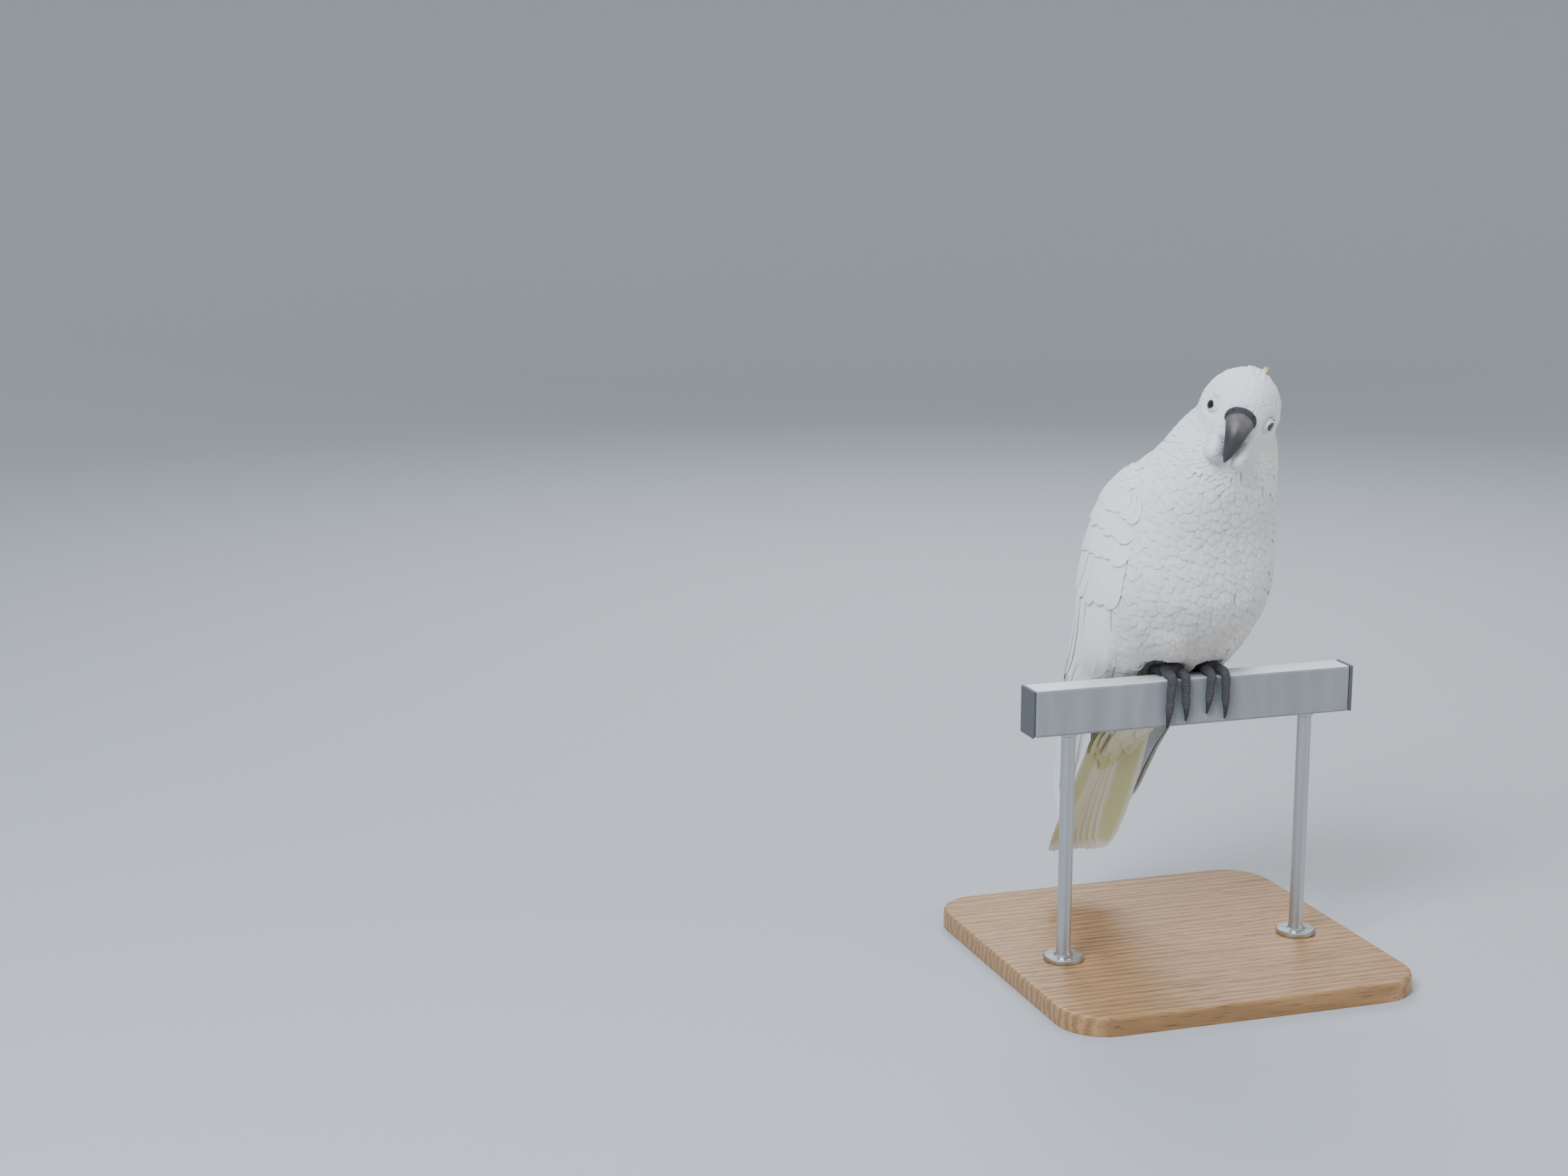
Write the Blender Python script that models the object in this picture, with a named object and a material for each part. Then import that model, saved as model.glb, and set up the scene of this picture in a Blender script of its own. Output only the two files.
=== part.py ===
"""A sulphur-crested cockatoo, life size, perched on a cut length of handrail on a display stand.

Metres, +Z up. +X runs along the rail, and the bird faces -Y with its head turned to its right.
The origin is the middle of the base's underside.

The bird is set out in a frame of its own: x forward, y to its left, z up, with the origin on
top of the rail between its feet. The head has such a frame too, centred between the eyes.
"""

import math
from collections import namedtuple

import bmesh
import bpy
from mathutils import Matrix, Vector

GAP = 0.0003  # air between two solids that meet

# The stand and the perch
BASE_SIDE = 0.320
BASE_THICKNESS = 0.016
BASE_CORNER = 0.040
BASE_EDGE = 0.003
RAIL_LENGTH = 0.290
RAIL_DEPTH = 0.025
RAIL_HEIGHT = 0.040
RAIL_EDGE = 0.0020
RAIL_TOP = 0.255
RAIL_Y = -0.022
CAP_THICKNESS = 0.003
ROD_RADIUS = 0.006
ROD_SPACING = 0.220
FLANGE_RADIUS = 0.017
FLANGE_HEIGHT = 0.004

# How the bird sits: degrees
BODY_YAW = 8.0
HEAD_TURN = -34.0
HEAD_NOD = 4.0
HEAD_TILT = -20.0
HEAD_CENTRE = Vector((0.060, -0.003, 0.229))

# Sections of the body from the tail up to the head: the middle's place forward and up, half
# the width, and how far the section reaches to the back and to the front.
Section = namedtuple("Section", "forward up half_width back front")
BODY = {
    "tail root": Section(-0.098, -0.062, 0.028, 0.012, 0.018),
    "vent": Section(-0.078, -0.012, 0.052, 0.028, 0.038),
    "loins": Section(-0.050, 0.036, 0.074, 0.042, 0.062),
    "belly": Section(-0.032, 0.083, 0.081, 0.052, 0.078),
    "breast": Section(-0.017, 0.125, 0.077, 0.055, 0.073),
    "shoulders": Section(0.001, 0.158, 0.069, 0.048, 0.065),
    "neck base": Section(0.024, 0.187, 0.054, 0.038, 0.052),
    "neck": Section(0.043, 0.210, 0.042, 0.033, 0.041),
    "throat": Section(0.056, 0.224, 0.030, 0.030, 0.030),
}
BODY_FULLNESS = 0.84  # how round the front is: 1 is an ellipse, less is squarer
BODY_RINGS = 16
BODY_SIDES = 24
NECK_CUT = "neck base"

# Sections of the head from the nape to the forehead: place forward, half the width, and how
# far it reaches up and down from the line between the eyes.
HeadSection = namedtuple("HeadSection", "forward half_width up down")
HEAD = {
    "nape": HeadSection(-0.0415, 0.004, 0.006, 0.004),
    "back": HeadSection(-0.035, 0.0190, 0.0200, 0.0190),
    "rear crown": HeadSection(-0.022, 0.0290, 0.0320, 0.0310),
    "crown": HeadSection(-0.006, 0.0335, 0.0385, 0.0370),
    "eyes": HeadSection(0.008, 0.0300, 0.0380, 0.0390),
    "brow": HeadSection(0.019, 0.0225, 0.0330, 0.0360),
    "forehead": HeadSection(0.0275, 0.0150, 0.0240, 0.0260),
    "face": HeadSection(0.0315, 0.006, 0.012, 0.008),
}
HEAD_RINGS = 12
HEAD_SIDES = 18

EYE_RADIUS = 0.0070
EYE_PLACE = Vector((0.0135, 0.0205, 0.0020))

# The bill: both halves are bent round a centre, from the face to the tip. Angles in degrees
# from straight ahead, positive upwards; depth is measured inwards from the outer curve.
BillSection = namedtuple("BillSection", "angle depth half_width")
UPPER_BILL_CENTRE = Vector((0.0205, 0.0, -0.0140))
UPPER_BILL_RADIUS = 0.0270
UPPER_BILL = (
    BillSection(84.0, 0.0200, 0.0120),
    BillSection(50.0, 0.0190, 0.0122),
    BillSection(22.0, 0.0170, 0.0108),
    BillSection(0.0, 0.0134, 0.0086),
    BillSection(-18.0, 0.0094, 0.0060),
    BillSection(-34.0, 0.0054, 0.0036),
    BillSection(-46.0, 0.0014, 0.0010),
)
LOWER_BILL_CENTRE = Vector((0.0160, 0.0, -0.0145))
LOWER_BILL_RADIUS = 0.0195
LOWER_BILL = (
    BillSection(-125.0, 0.0100, 0.0098),
    BillSection(-90.0, 0.0100, 0.0104),
    BillSection(-55.0, 0.0092, 0.0098),
    BillSection(-30.0, 0.0060, 0.0078),
    BillSection(-22.0, 0.0030, 0.0060),
)
BILL_RINGS = 11
BILL_SIDES = 10

# The crest: plumes laid one on another back over the crown, with their tips curled up behind.
# The line is the lowest plume's, forward and up from between the eyes. Each plume starts and
# ends at its own rings of the line, and rises a step before it meets each plume under it.
CREST_LINE = (
    (0.022, 0.0318),
    (0.010, 0.0384),
    (-0.005, 0.0393),
    (-0.018, 0.0358),
    (-0.031, 0.0300),
    (-0.044, 0.0245),
    (-0.056, 0.0218),
    (-0.066, 0.0250),
    (-0.071, 0.0335),
)
CREST_SPANS = ((9, 17), (7, 18), (6, 19), (4, 20), (3, 18))
CREST_FAN = (-3.0, 2.0, -1.0, 4.0, 0.0)  # degrees to the left
CREST_STEP = 0.0013
CREST_RAMP = 2.0  # rings
CREST_HALF_WIDTH = 0.0045
CREST_THICKNESS = 0.0008
CREST_RINGS = 20

# The folded wing: a shell over the side of the body. Each section gives the bed that it lies
# on, the angles round that bed of its upper and lower edges, and its thickness.
WingSection = namedtuple("WingSection", "forward up half_width back front high low thickness")
WING = {
    "tip": WingSection(-0.141, -0.150, 0.040, 0.012, 0.010, 62, 100, 0.0014),
    "long primaries": WingSection(-0.122, -0.096, 0.048, 0.026, 0.018, 24, 112, 0.0030),
    "primaries": WingSection(-0.100, -0.046, 0.060, 0.032, 0.032, 16, 120, 0.0050),
    "rump": WingSection(-0.075, 0.000, 0.067, 0.038, 0.046, 14, 128, 0.0065),
    "loins": WingSection(-0.051, 0.038, 0.075, 0.043, 0.062, 12, 122, 0.0080),
    "belly": WingSection(-0.032, 0.083, 0.081, 0.052, 0.078, 12, 112, 0.0080),
    "breast": WingSection(-0.017, 0.125, 0.077, 0.056, 0.073, 18, 106, 0.0085),
    "shoulders": WingSection(0.000, 0.156, 0.069, 0.049, 0.065, 36, 100, 0.0070),
    "bend": WingSection(0.009, 0.170, 0.063, 0.046, 0.058, 60, 84, 0.0040),
}
WING_RINGS = 15
WING_COLUMNS = 6
WING_EDGE = 0.62  # its thickness at its edges, as a share
BED_SPREAD = 0.8  # degrees by which the wing bed in the trunk is wider, all round
WING_SUNK = 0.0030  # how far the wing's inner face lies inside the body's surface

# The tail
TAIL_ROOT = Vector((-0.076, 0.0, -0.012))
TAIL_TIP = Vector((-0.168, 0.0, -0.203))
TAIL_TWIST = 8.0  # degrees, by the tip
TAIL_ROOT_HALF_WIDTH = 0.028
TAIL_TIP_HALF_WIDTH = 0.034
TAIL_ROOT_THICKNESS = 0.012
TAIL_TIP_THICKNESS = 0.0016
TAIL_ARCH = 0.007
TAIL_FEATHERS = 6
TAIL_RINGS = 6
TAIL_ROUNDING = 0.012
TAIL_SCALLOP = 0.003

# Legs, in the bird's frame for the left side
ANKLE = Vector((-0.014, 0.0235, 0.034))
SOLE = Vector((0.000, 0.0185, 0.0072))
STEP_BACK = {"left": 0.004, "right": -0.001}  # how far each foot stands behind the middle
TARSUS_RADIUS = 0.0052
PAD_HALF_SIZES = Vector((0.0080, 0.0098, 0.0060))

# Sections of the feathered thigh from the ankle up: the middle's place forward, across and up,
# and half its depth and width.
ThighSection = namedtuple("ThighSection", "forward across up half_depth half_width")
THIGH = (
    ThighSection(-0.007, 0.0205, 0.0105, 0.0085, 0.0070),
    ThighSection(-0.004, 0.0225, 0.0140, 0.0170, 0.0130),
    ThighSection(-0.001, 0.0270, 0.0260, 0.0255, 0.0200),
    ThighSection(0.001, 0.0330, 0.0460, 0.0290, 0.0250),
    ThighSection(-0.003, 0.0370, 0.0660, 0.0270, 0.0240),
    ThighSection(-0.008, 0.0370, 0.0810, 0.0160, 0.0150),
    ThighSection(-0.010, 0.0360, 0.0860, 0.0050, 0.0050),
)
THIGH_RINGS = 8
THIGH_SIDES = 12

# The toes' room under the plumage: its inner and outer sides and its height
FOOT_ROOM = Vector((0.0050, 0.0345, 0.0100))

# Toes: which way each points, its place across the foot, its spread in degrees, its length and
# its claw's length. Toes two and three point forward, one and four back.
Toe = namedtuple("Toe", "name facing across spread length claw")
TOES = (
    Toe("toe_2", 1, -0.0052, -4.0, 0.042, 0.014),
    Toe("toe_3", 1, 0.0052, 3.0, 0.046, 0.016),
    Toe("toe_1", -1, -0.0052, -6.0, 0.024, 0.013),
    Toe("toe_4", -1, 0.0052, 8.0, 0.036, 0.014),
)
TOE_ROOT_RADIUS = 0.0046
TOE_TIP_RADIUS = 0.0034
TOE_CLEARANCE = 0.0003
TOE_START = 0.0040  # from the middle of the foot
TOE_POINTS = 8
CLAW_ROOT_RADIUS = 0.0026
CLAW_TIP_RADIUS = 0.0005
CLAW_BEND = 62.0
CLAW_POINTS = 5

BIRD_FRAME = Matrix.Translation((0.0, RAIL_Y, RAIL_TOP)) @ Matrix.Rotation(
    math.radians(BODY_YAW - 90.0), 4, "Z"
)
HEAD_FRAME = (
    BIRD_FRAME
    @ Matrix.Translation(HEAD_CENTRE)
    @ Matrix.Rotation(math.radians(HEAD_TURN), 4, "Z")
    @ Matrix.Rotation(math.radians(HEAD_NOD), 4, "Y")
    @ Matrix.Rotation(math.radians(HEAD_TILT), 4, "X")
)
# The feet stay square to the rail, however the body is turned.
FEET_FRAME = Matrix.Translation((0.0, RAIL_Y, RAIL_TOP)) @ Matrix.Rotation(
    math.radians(-90.0), 4, "Z"
)


def clear_scene():
    for obj in list(bpy.data.objects):
        bpy.data.objects.remove(obj, do_unlink=True)


def make_collection(name):
    collection = bpy.data.collections.new(name)
    bpy.context.scene.collection.children.link(collection)
    return collection


def make_material(name, colour, roughness, metallic=0.0):
    material = bpy.data.materials.new(name)
    material.use_nodes = True
    shader = material.node_tree.nodes["Principled BSDF"]
    shader.inputs["Base Color"].default_value = (*colour, 1.0)
    shader.inputs["Roughness"].default_value = roughness
    shader.inputs["Metallic"].default_value = metallic
    return material


def fill_mesh(mesh, bm):
    """Writes the bmesh to the mesh as triangles, so that a part and its cutter split alike."""
    bmesh.ops.recalc_face_normals(bm, faces=bm.faces)
    bmesh.ops.triangulate(bm, faces=bm.faces, quad_method="FIXED", ngon_method="BEAUTY")
    bm.to_mesh(mesh)
    bm.free()


def add_object(name, bm, material, frame=None):
    """Makes an object of the bmesh, which is in the given frame's coordinates."""
    if frame is not None:
        bm.transform(frame)
    mesh = bpy.data.meshes.new(name)
    fill_mesh(mesh, bm)
    mesh.shade_smooth()
    mesh.set_sharp_from_angle(angle=math.radians(40.0))
    obj = bpy.data.objects.new(name, mesh)
    obj.data.materials.append(material)
    PARTS.objects.link(obj)
    return obj


def add_cutter(name, bm, frame=None):
    if frame is not None:
        bm.transform(frame)
    mesh = bpy.data.meshes.new(name + "_cutter")
    fill_mesh(mesh, bm)
    cutter = bpy.data.objects.new(mesh.name, mesh)
    cutter.hide_render = True
    cutter.display_type = "WIRE"
    CUTTERS.objects.link(cutter)
    return cutter


def smooth_between(rows, count):
    """Rows of numbers read at equal steps from a smooth curve through the given ones."""
    last = len(rows) - 1
    made = []
    for step in range(count):
        place = last * step / (count - 1)
        i = min(int(place), last - 1)
        t = place - i
        p1, p2 = rows[i], rows[i + 1]
        p0 = rows[i - 1] if i else [2 * a - b for a, b in zip(p1, p2)]
        p3 = rows[i + 2] if i + 2 <= last else [2 * b - a for a, b in zip(p1, p2)]
        made.append(
            [
                0.5
                * (
                    2 * b
                    + (c - a) * t
                    + (2 * a - 5 * b + 4 * c - d) * t * t
                    + (3 * b - a - 3 * c + d) * t * t * t
                )
                for a, b, c, d in zip(p0, p1, p2, p3)
            ]
        )
    return made


def loft(rings):
    """A closed bmesh through rings of points, each ring closed and the two ends capped."""
    bm = bmesh.new()
    loops = [[bm.verts.new(p) for p in ring] for ring in rings]
    sides = len(rings[0])
    for near, far in zip(loops, loops[1:]):
        for i in range(sides):
            j = (i + 1) % sides
            bm.faces.new((near[i], near[j], far[j], far[i]))
    bm.faces.new(loops[0][::-1])
    bm.faces.new(loops[-1])
    return bm


def slab(outer, inner):
    """A closed bmesh between two grids of points, joined round their rims."""
    bm = bmesh.new()
    top = [[bm.verts.new(p) for p in row] for row in outer]
    under = [[bm.verts.new(p) for p in row] for row in inner]
    for a, b, c, d in zip(top, top[1:], under, under[1:]):
        for i in range(len(a) - 1):
            bm.faces.new((a[i], a[i + 1], b[i + 1], b[i]))
            bm.faces.new((d[i], d[i + 1], c[i + 1], c[i]))
        bm.faces.new((c[0], a[0], b[0], d[0]))
        bm.faces.new((d[-1], b[-1], a[-1], c[-1]))
    for i in range(len(top[0]) - 1):
        bm.faces.new((under[0][i], under[0][i + 1], top[0][i + 1], top[0][i]))
        bm.faces.new((top[-1][i], top[-1][i + 1], under[-1][i + 1], under[-1][i]))
    return bm


def solid_of(obj):
    """A bmesh of the object as its modifiers leave it, in world space."""
    bpy.context.view_layer.update()
    graph = bpy.context.evaluated_depsgraph_get()
    mesh = bpy.data.meshes.new_from_object(obj.evaluated_get(graph), depsgraph=graph)
    bm = bmesh.new()
    bm.from_mesh(mesh)
    bm.transform(obj.matrix_world)
    bpy.data.meshes.remove(mesh)
    return bm


def grown_copy(obj, by=GAP):
    """A cutter: the object's solid with its surface moved out by a little."""
    bm = solid_of(obj)
    bmesh.ops.remove_doubles(bm, verts=bm.verts, dist=0.00001)
    bm.normal_update()
    moved = [(v, v.co + v.normal * by * max(1.0, v.calc_shell_factor())) for v in bm.verts]
    for vert, place in moved:
        vert.co = place
    return add_cutter(obj.name, bm)


def combine(obj, other, operation):
    modifier = obj.modifiers.new(operation.title(), "BOOLEAN")
    modifier.operation = operation
    modifier.solver = "EXACT"
    modifier.object = other


def keep_clear(obj, *neighbours):
    """Cuts away from obj what its neighbours fill, and the gap round them."""
    for neighbour in neighbours:
        combine(obj, grown_copy(neighbour), "DIFFERENCE")


def apply_modifiers(obj):
    bm = solid_of(obj)
    obj.modifiers.clear()
    fill_mesh(obj.data, bm)
    obj.data.shade_smooth()
    obj.data.set_sharp_from_angle(angle=math.radians(40.0))


def keep_side(bm, point, normal):
    """Cuts the bmesh at a plane, keeps what lies ahead of it and closes the cut."""
    cut = bmesh.ops.bisect_plane(
        bm,
        geom=bm.verts[:] + bm.edges[:] + bm.faces[:],
        plane_co=point,
        plane_no=normal,
        clear_inner=True,
    )
    rim = [e for e in cut["geom_cut"] if isinstance(e, bmesh.types.BMEdge)]
    bmesh.ops.holes_fill(bm, edges=rim, sides=0)
    return bm


def flesh_piece(name, whole, cuts, material):
    """The stretch of the whole body between cutting planes, each given by point and normal."""
    bm = whole.copy()
    for point, normal in cuts:
        keep_side(bm, point + normal * GAP / 2, normal)
    return add_object(name, bm, material)


def round_off(angle):
    """A section's unit outline at an angle from the back: its share across and its share up."""
    across, upward = math.sin(angle), math.cos(angle)
    if upward < 0.0:
        across = math.copysign(abs(across) ** BODY_FULLNESS, across)
        upward = -(abs(upward) ** BODY_FULLNESS)
    return across, upward


def section_ring(row, tangent, sides):
    """One section of the body as a ring of points, across the given direction."""
    forward, up, half_width, back, front = row
    dorsal = Vector((-tangent.z, 0.0, tangent.x))
    middle = Vector((forward, 0.0, up))
    points = []
    for i in range(sides):
        across, upward = round_off(math.tau * i / sides)
        reach = back if upward > 0.0 else front
        points.append(middle + Vector((0.0, across * half_width, 0.0)) + dorsal * upward * reach)
    return points


def tangents(rows):
    """The direction of the middle line at each row, from the rows next to it."""
    found = []
    for i in range(len(rows)):
        a = rows[max(i - 1, 0)]
        b = rows[min(i + 1, len(rows) - 1)]
        found.append(Vector((b[0] - a[0], 0.0, b[1] - a[1])).normalized())
    return found


def body_loft():
    rows = smooth_between(list(BODY.values()), BODY_RINGS)
    rings = [section_ring(r, t, BODY_SIDES) for r, t in zip(rows, tangents(rows))]
    bm = loft(rings)
    bm.transform(BIRD_FRAME)
    return bm


def head_loft():
    rings = []
    for forward, half_width, up, down in smooth_between(list(HEAD.values()), HEAD_RINGS):
        ring = []
        for i in range(HEAD_SIDES):
            angle = math.tau * i / HEAD_SIDES
            reach = up if math.cos(angle) > 0.0 else down
            ring.append(
                Vector((forward, math.sin(angle) * half_width, math.cos(angle) * reach))
            )
        rings.append(ring)
    bm = loft(rings)
    bm.transform(HEAD_FRAME)
    return bm


def make_flesh(materials):
    """Head, neck and trunk: modelled whole, then parted by thin cuts."""
    whole = add_object("whole", body_loft(), materials["plumage"])
    head = add_object("head_form", head_loft(), materials["plumage"])
    combine(whole, head, "UNION")
    bm = solid_of(whole)
    bmesh.ops.remove_doubles(bm, verts=bm.verts, dist=0.00002)
    for helper in (whole, head):
        bpy.data.objects.remove(helper)

    base = BODY[NECK_CUT]
    neck_point = BIRD_FRAME @ Vector((base.forward, 0.0, base.up))
    neck_axis = (BIRD_FRAME.to_3x3() @ Vector((0.62, 0.0, 0.78))).normalized()
    head_point = HEAD_FRAME @ Vector((-0.018, 0.0, -0.020))
    head_axis = (HEAD_FRAME.to_3x3() @ Vector((0.60, 0.0, 0.80))).normalized()
    trunk = flesh_piece("trunk", bm, [(neck_point, -neck_axis)], materials["plumage"])
    neck = flesh_piece(
        "neck", bm, [(neck_point, neck_axis), (head_point, -head_axis)], materials["plumage"]
    )
    head = flesh_piece("head", bm, [(head_point, head_axis)], materials["plumage"])
    bm.free()
    return trunk, neck, head


def bill_half(name, centre, radius, sections, material):
    """One half of the bill: a loft bent round a centre, as deep and wide as its sections say."""
    rings = []
    for angle, depth, half_width in smooth_between(sections, BILL_RINGS):
        turn = math.radians(angle)
        outward = Vector((math.cos(turn), 0.0, math.sin(turn)))
        middle = centre + outward * (radius - depth / 2)
        ring = []
        for i in range(BILL_SIDES):
            a = math.tau * i / BILL_SIDES
            ring.append(
                middle
                + outward * math.cos(a) * depth / 2
                + Vector((0.0, math.sin(a) * half_width, 0.0))
            )
        rings.append(ring)
    return add_object(name, loft(rings), material, HEAD_FRAME)


def make_head_parts(head, materials):
    upper = bill_half(
        "upper_bill", UPPER_BILL_CENTRE, UPPER_BILL_RADIUS, UPPER_BILL, materials["bill"]
    )
    lower = bill_half(
        "lower_bill", LOWER_BILL_CENTRE, LOWER_BILL_RADIUS, LOWER_BILL, materials["bill"]
    )
    keep_clear(upper, head)
    keep_clear(lower, head)
    for side, name in ((1, "eye_left"), (-1, "eye_right")):
        bm = bmesh.new()
        bmesh.ops.create_uvsphere(bm, u_segments=12, v_segments=8, radius=EYE_RADIUS)
        place = Vector((EYE_PLACE.x, EYE_PLACE.y * side, EYE_PLACE.z))
        bmesh.ops.translate(bm, verts=bm.verts, vec=place)
        eye = add_object(name, bm, materials["eye"], HEAD_FRAME)
        keep_clear(head, eye)


def rise_over(ring, root):
    """How far a plume has risen, of one step, to clear another whose root is at a ring."""
    ramp = min(max((ring - root) / CREST_RAMP + 1.5, 0.0), 1.0)
    return ramp * ramp * (3.0 - 2.0 * ramp)


def make_crest(materials):
    line = [Vector((x, 0.0, z)) for x, z in smooth_between(CREST_LINE, CREST_RINGS + 1)]
    for plume, (first, last) in enumerate(CREST_SPANS):
        outer, inner = [], []
        for i in range(first, last + 1):
            along = (i - first) / (last - first)
            ahead = (line[min(i + 1, CREST_RINGS)] - line[i - 1]).normalized()
            normal = Vector((ahead.z, 0.0, -ahead.x))
            under = sum(rise_over(i, root) for root, _ in CREST_SPANS[:plume])
            middle = line[i] + normal * CREST_STEP * under
            half = CREST_HALF_WIDTH * math.sqrt(max(0.05, 1.0 - abs(2.0 * along - 0.9) ** 3))
            for side, rows in ((0.5, outer), (-0.5, inner)):
                place = middle + normal * CREST_THICKNESS * side
                place.y = (line[0].x - place.x) * math.tan(math.radians(CREST_FAN[plume]))
                rows.append([place + Vector((0.0, half * k, 0.0)) for k in (-1, 0, 1)])
        name = f"crest_plume_{plume + 1}"
        add_object(name, slab(outer, inner), materials["yellow"], HEAD_FRAME)


def wing_point(row, tangent, angle, lift, side):
    forward, up, half_width, back, front = row[:5]
    dorsal = Vector((-tangent.z, 0.0, tangent.x))
    across, upward = round_off(math.radians(angle))
    reach = back if upward > 0.0 else front
    place = Vector((forward, across * half_width, up)) + dorsal * upward * reach
    normal = dorsal * (upward / reach) + Vector((0.0, across / half_width, 0.0))
    place += normal.normalized() * lift
    place.y *= side
    return place


def wing_grid(side, spread, lift_share, lift):
    """A grid of points over the wing's bed, as far above it as asked."""
    rows = smooth_between(list(WING.values()), WING_RINGS)
    grid = []
    for row, tangent in zip(rows, tangents(rows)):
        high, low, thickness = row[5:]
        points = []
        for column in range(WING_COLUMNS + 1):
            across = column / WING_COLUMNS
            angle = high - spread + (low - high + 2.0 * spread) * across
            swell = WING_EDGE + (1.0 - WING_EDGE) * math.sin(math.pi * across) ** 0.6
            rise = lift + lift_share * thickness * swell
            points.append(wing_point(row, tangent, angle, rise, side))
        grid.append(points)
    if spread:
        for row, tangent in ((grid[0], -tangents(rows)[0]), (grid[-1], tangents(rows)[-1])):
            row[:] = [p + tangent * 2.0 * GAP for p in row]
    return grid


def make_wing(name, side, trunk, material):
    """The wing, and under it a bed cut in the trunk for it to lie in."""
    outer = wing_grid(side, 0.0, 1.0, -WING_SUNK)
    inner = wing_grid(side, 0.0, 0.0, -WING_SUNK)
    wing = add_object(name, slab(outer, inner), material, BIRD_FRAME)

    bed_top = wing_grid(side, BED_SPREAD, 0.0, 0.030)
    bed = wing_grid(side, BED_SPREAD, 0.0, -WING_SUNK - 2.0 * GAP)
    cutter = add_cutter(name + "_bed", slab(bed_top, bed), BIRD_FRAME)
    combine(trunk, cutter, "DIFFERENCE")
    return wing


def make_tail(material):
    """The closed tail: a slightly arched blade whose end is scalloped by the feather tips."""
    columns = TAIL_FEATHERS * 3
    axis = TAIL_TIP - TAIL_ROOT
    length = axis.length
    axis.normalize()
    dorsal = Vector((axis.z, 0.0, -axis.x))
    outer, inner = [], []
    for step in range(TAIL_RINGS + 1):
        along = step / TAIL_RINGS
        half = TAIL_ROOT_HALF_WIDTH + (TAIL_TIP_HALF_WIDTH - TAIL_ROOT_HALF_WIDTH) * along
        thick = TAIL_ROOT_THICKNESS + (TAIL_TIP_THICKNESS - TAIL_ROOT_THICKNESS) * along**0.6
        top_row, under_row = [], []
        for column in range(columns + 1):
            across = 2.0 * column / columns - 1.0
            lobe = abs(math.sin(math.pi * TAIL_FEATHERS * (across + 1.0) / 2.0))
            end = length - TAIL_ROUNDING * abs(across) ** 2.5 - TAIL_SCALLOP * (1.0 - lobe)
            middle = TAIL_ROOT + axis * end * along
            middle += dorsal * TAIL_ARCH * (0.5 - across * across) * along
            middle.y = across * half
            middle += dorsal * math.tan(math.radians(TAIL_TWIST)) * -middle.y * along
            body = thick * (1.0 - 0.6 * across * across)
            top_row.append(middle + dorsal * body / 2)
            under_row.append(middle - dorsal * body / 2)
        outer.append(top_row)
        inner.append(under_row)
    return add_object("tail", slab(outer, inner), material, BIRD_FRAME)


def make_thigh(name, side, material):
    rings = []
    for forward, across, up, half_depth, half_width in smooth_between(THIGH, THIGH_RINGS):
        ring = []
        for i in range(THIGH_SIDES):
            angle = math.tau * i / THIGH_SIDES
            place = Vector((forward, side * across, up))
            place.x += math.cos(angle) * half_depth
            place.y += math.sin(angle) * half_width
            ring.append(place)
        rings.append(ring)
    return add_object(name, loft(rings), material, BIRD_FRAME)


def make_tube(name, points, radii, material):
    """A tapering tube along world points, as one closed mesh."""
    curve = bpy.data.curves.new(name, "CURVE")
    curve.dimensions = "3D"
    curve.bevel_depth = 1.0
    curve.bevel_resolution = 2
    curve.use_fill_caps = True
    spline = curve.splines.new("POLY")
    spline.points.add(len(points) - 1)
    for point, place, radius in zip(spline.points, points, radii):
        point.co = (*place, 1.0)
        point.radius = radius
    guide = bpy.data.objects.new(name + "_guide", curve)
    CUTTERS.objects.link(guide)
    bm = solid_of(guide)
    bpy.data.objects.remove(guide)
    bmesh.ops.remove_doubles(bm, verts=bm.verts, dist=0.00001)
    return add_object(name, bm, material)


def toe_path(toe, radii, side, back):
    """The toe's middle line over the top of the rail and down its face, lying on both."""
    edge = RAIL_DEPTH / 2 + toe.facing * back
    bend = radii[0] * math.pi / 2
    on_top = edge - 0.001
    points = []
    for step, radius in enumerate(radii):
        reach = TOE_START + (toe.length - TOE_START) * step / (len(radii) - 1)
        clear = radius + TOE_CLEARANCE
        if reach < on_top:
            out, up = reach, clear
        elif reach < on_top + bend:
            turn = (reach - on_top) / radii[0]
            out = on_top + (clear + 0.001) * math.sin(turn)
            up = clear * math.cos(turn)
        else:
            out = on_top + clear + 0.001
            up = -(reach - on_top - bend)
        across = toe.across + math.tan(math.radians(toe.spread)) * reach
        points.append(Vector((toe.facing * out - back, side * (SOLE.y + across), up)))
    return points


def make_block(low, high):
    """A cutter in the shape of a box, in the feet's frame."""
    bm = bmesh.new()
    bmesh.ops.create_cube(bm, size=1.0)
    bmesh.ops.scale(bm, verts=bm.verts, vec=[b - a for a, b in zip(low, high)])
    bmesh.ops.translate(bm, verts=bm.verts, vec=[(a + b) / 2 for a, b in zip(low, high)])
    return add_cutter("room", bm, FEET_FRAME)


def leave_foot_room(obj):
    """Keeps the plumage clear of the rail and of the toes on it."""
    half = RAIL_DEPTH / 2 + 0.0006
    combine(obj, make_block((-half, -0.20, -0.060), (half, 0.20, 0.0006)), "DIFFERENCE")
    for side in (1, -1):
        near, far = sorted((side * FOOT_ROOM.x, side * FOOT_ROOM.y))
        reach = RAIL_DEPTH / 2 + 2.0 * TOE_ROOT_RADIUS + 0.003
        block = make_block((-reach, near, -0.045), (reach, far, FOOT_ROOM.z))
        combine(obj, block, "DIFFERENCE")


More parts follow.
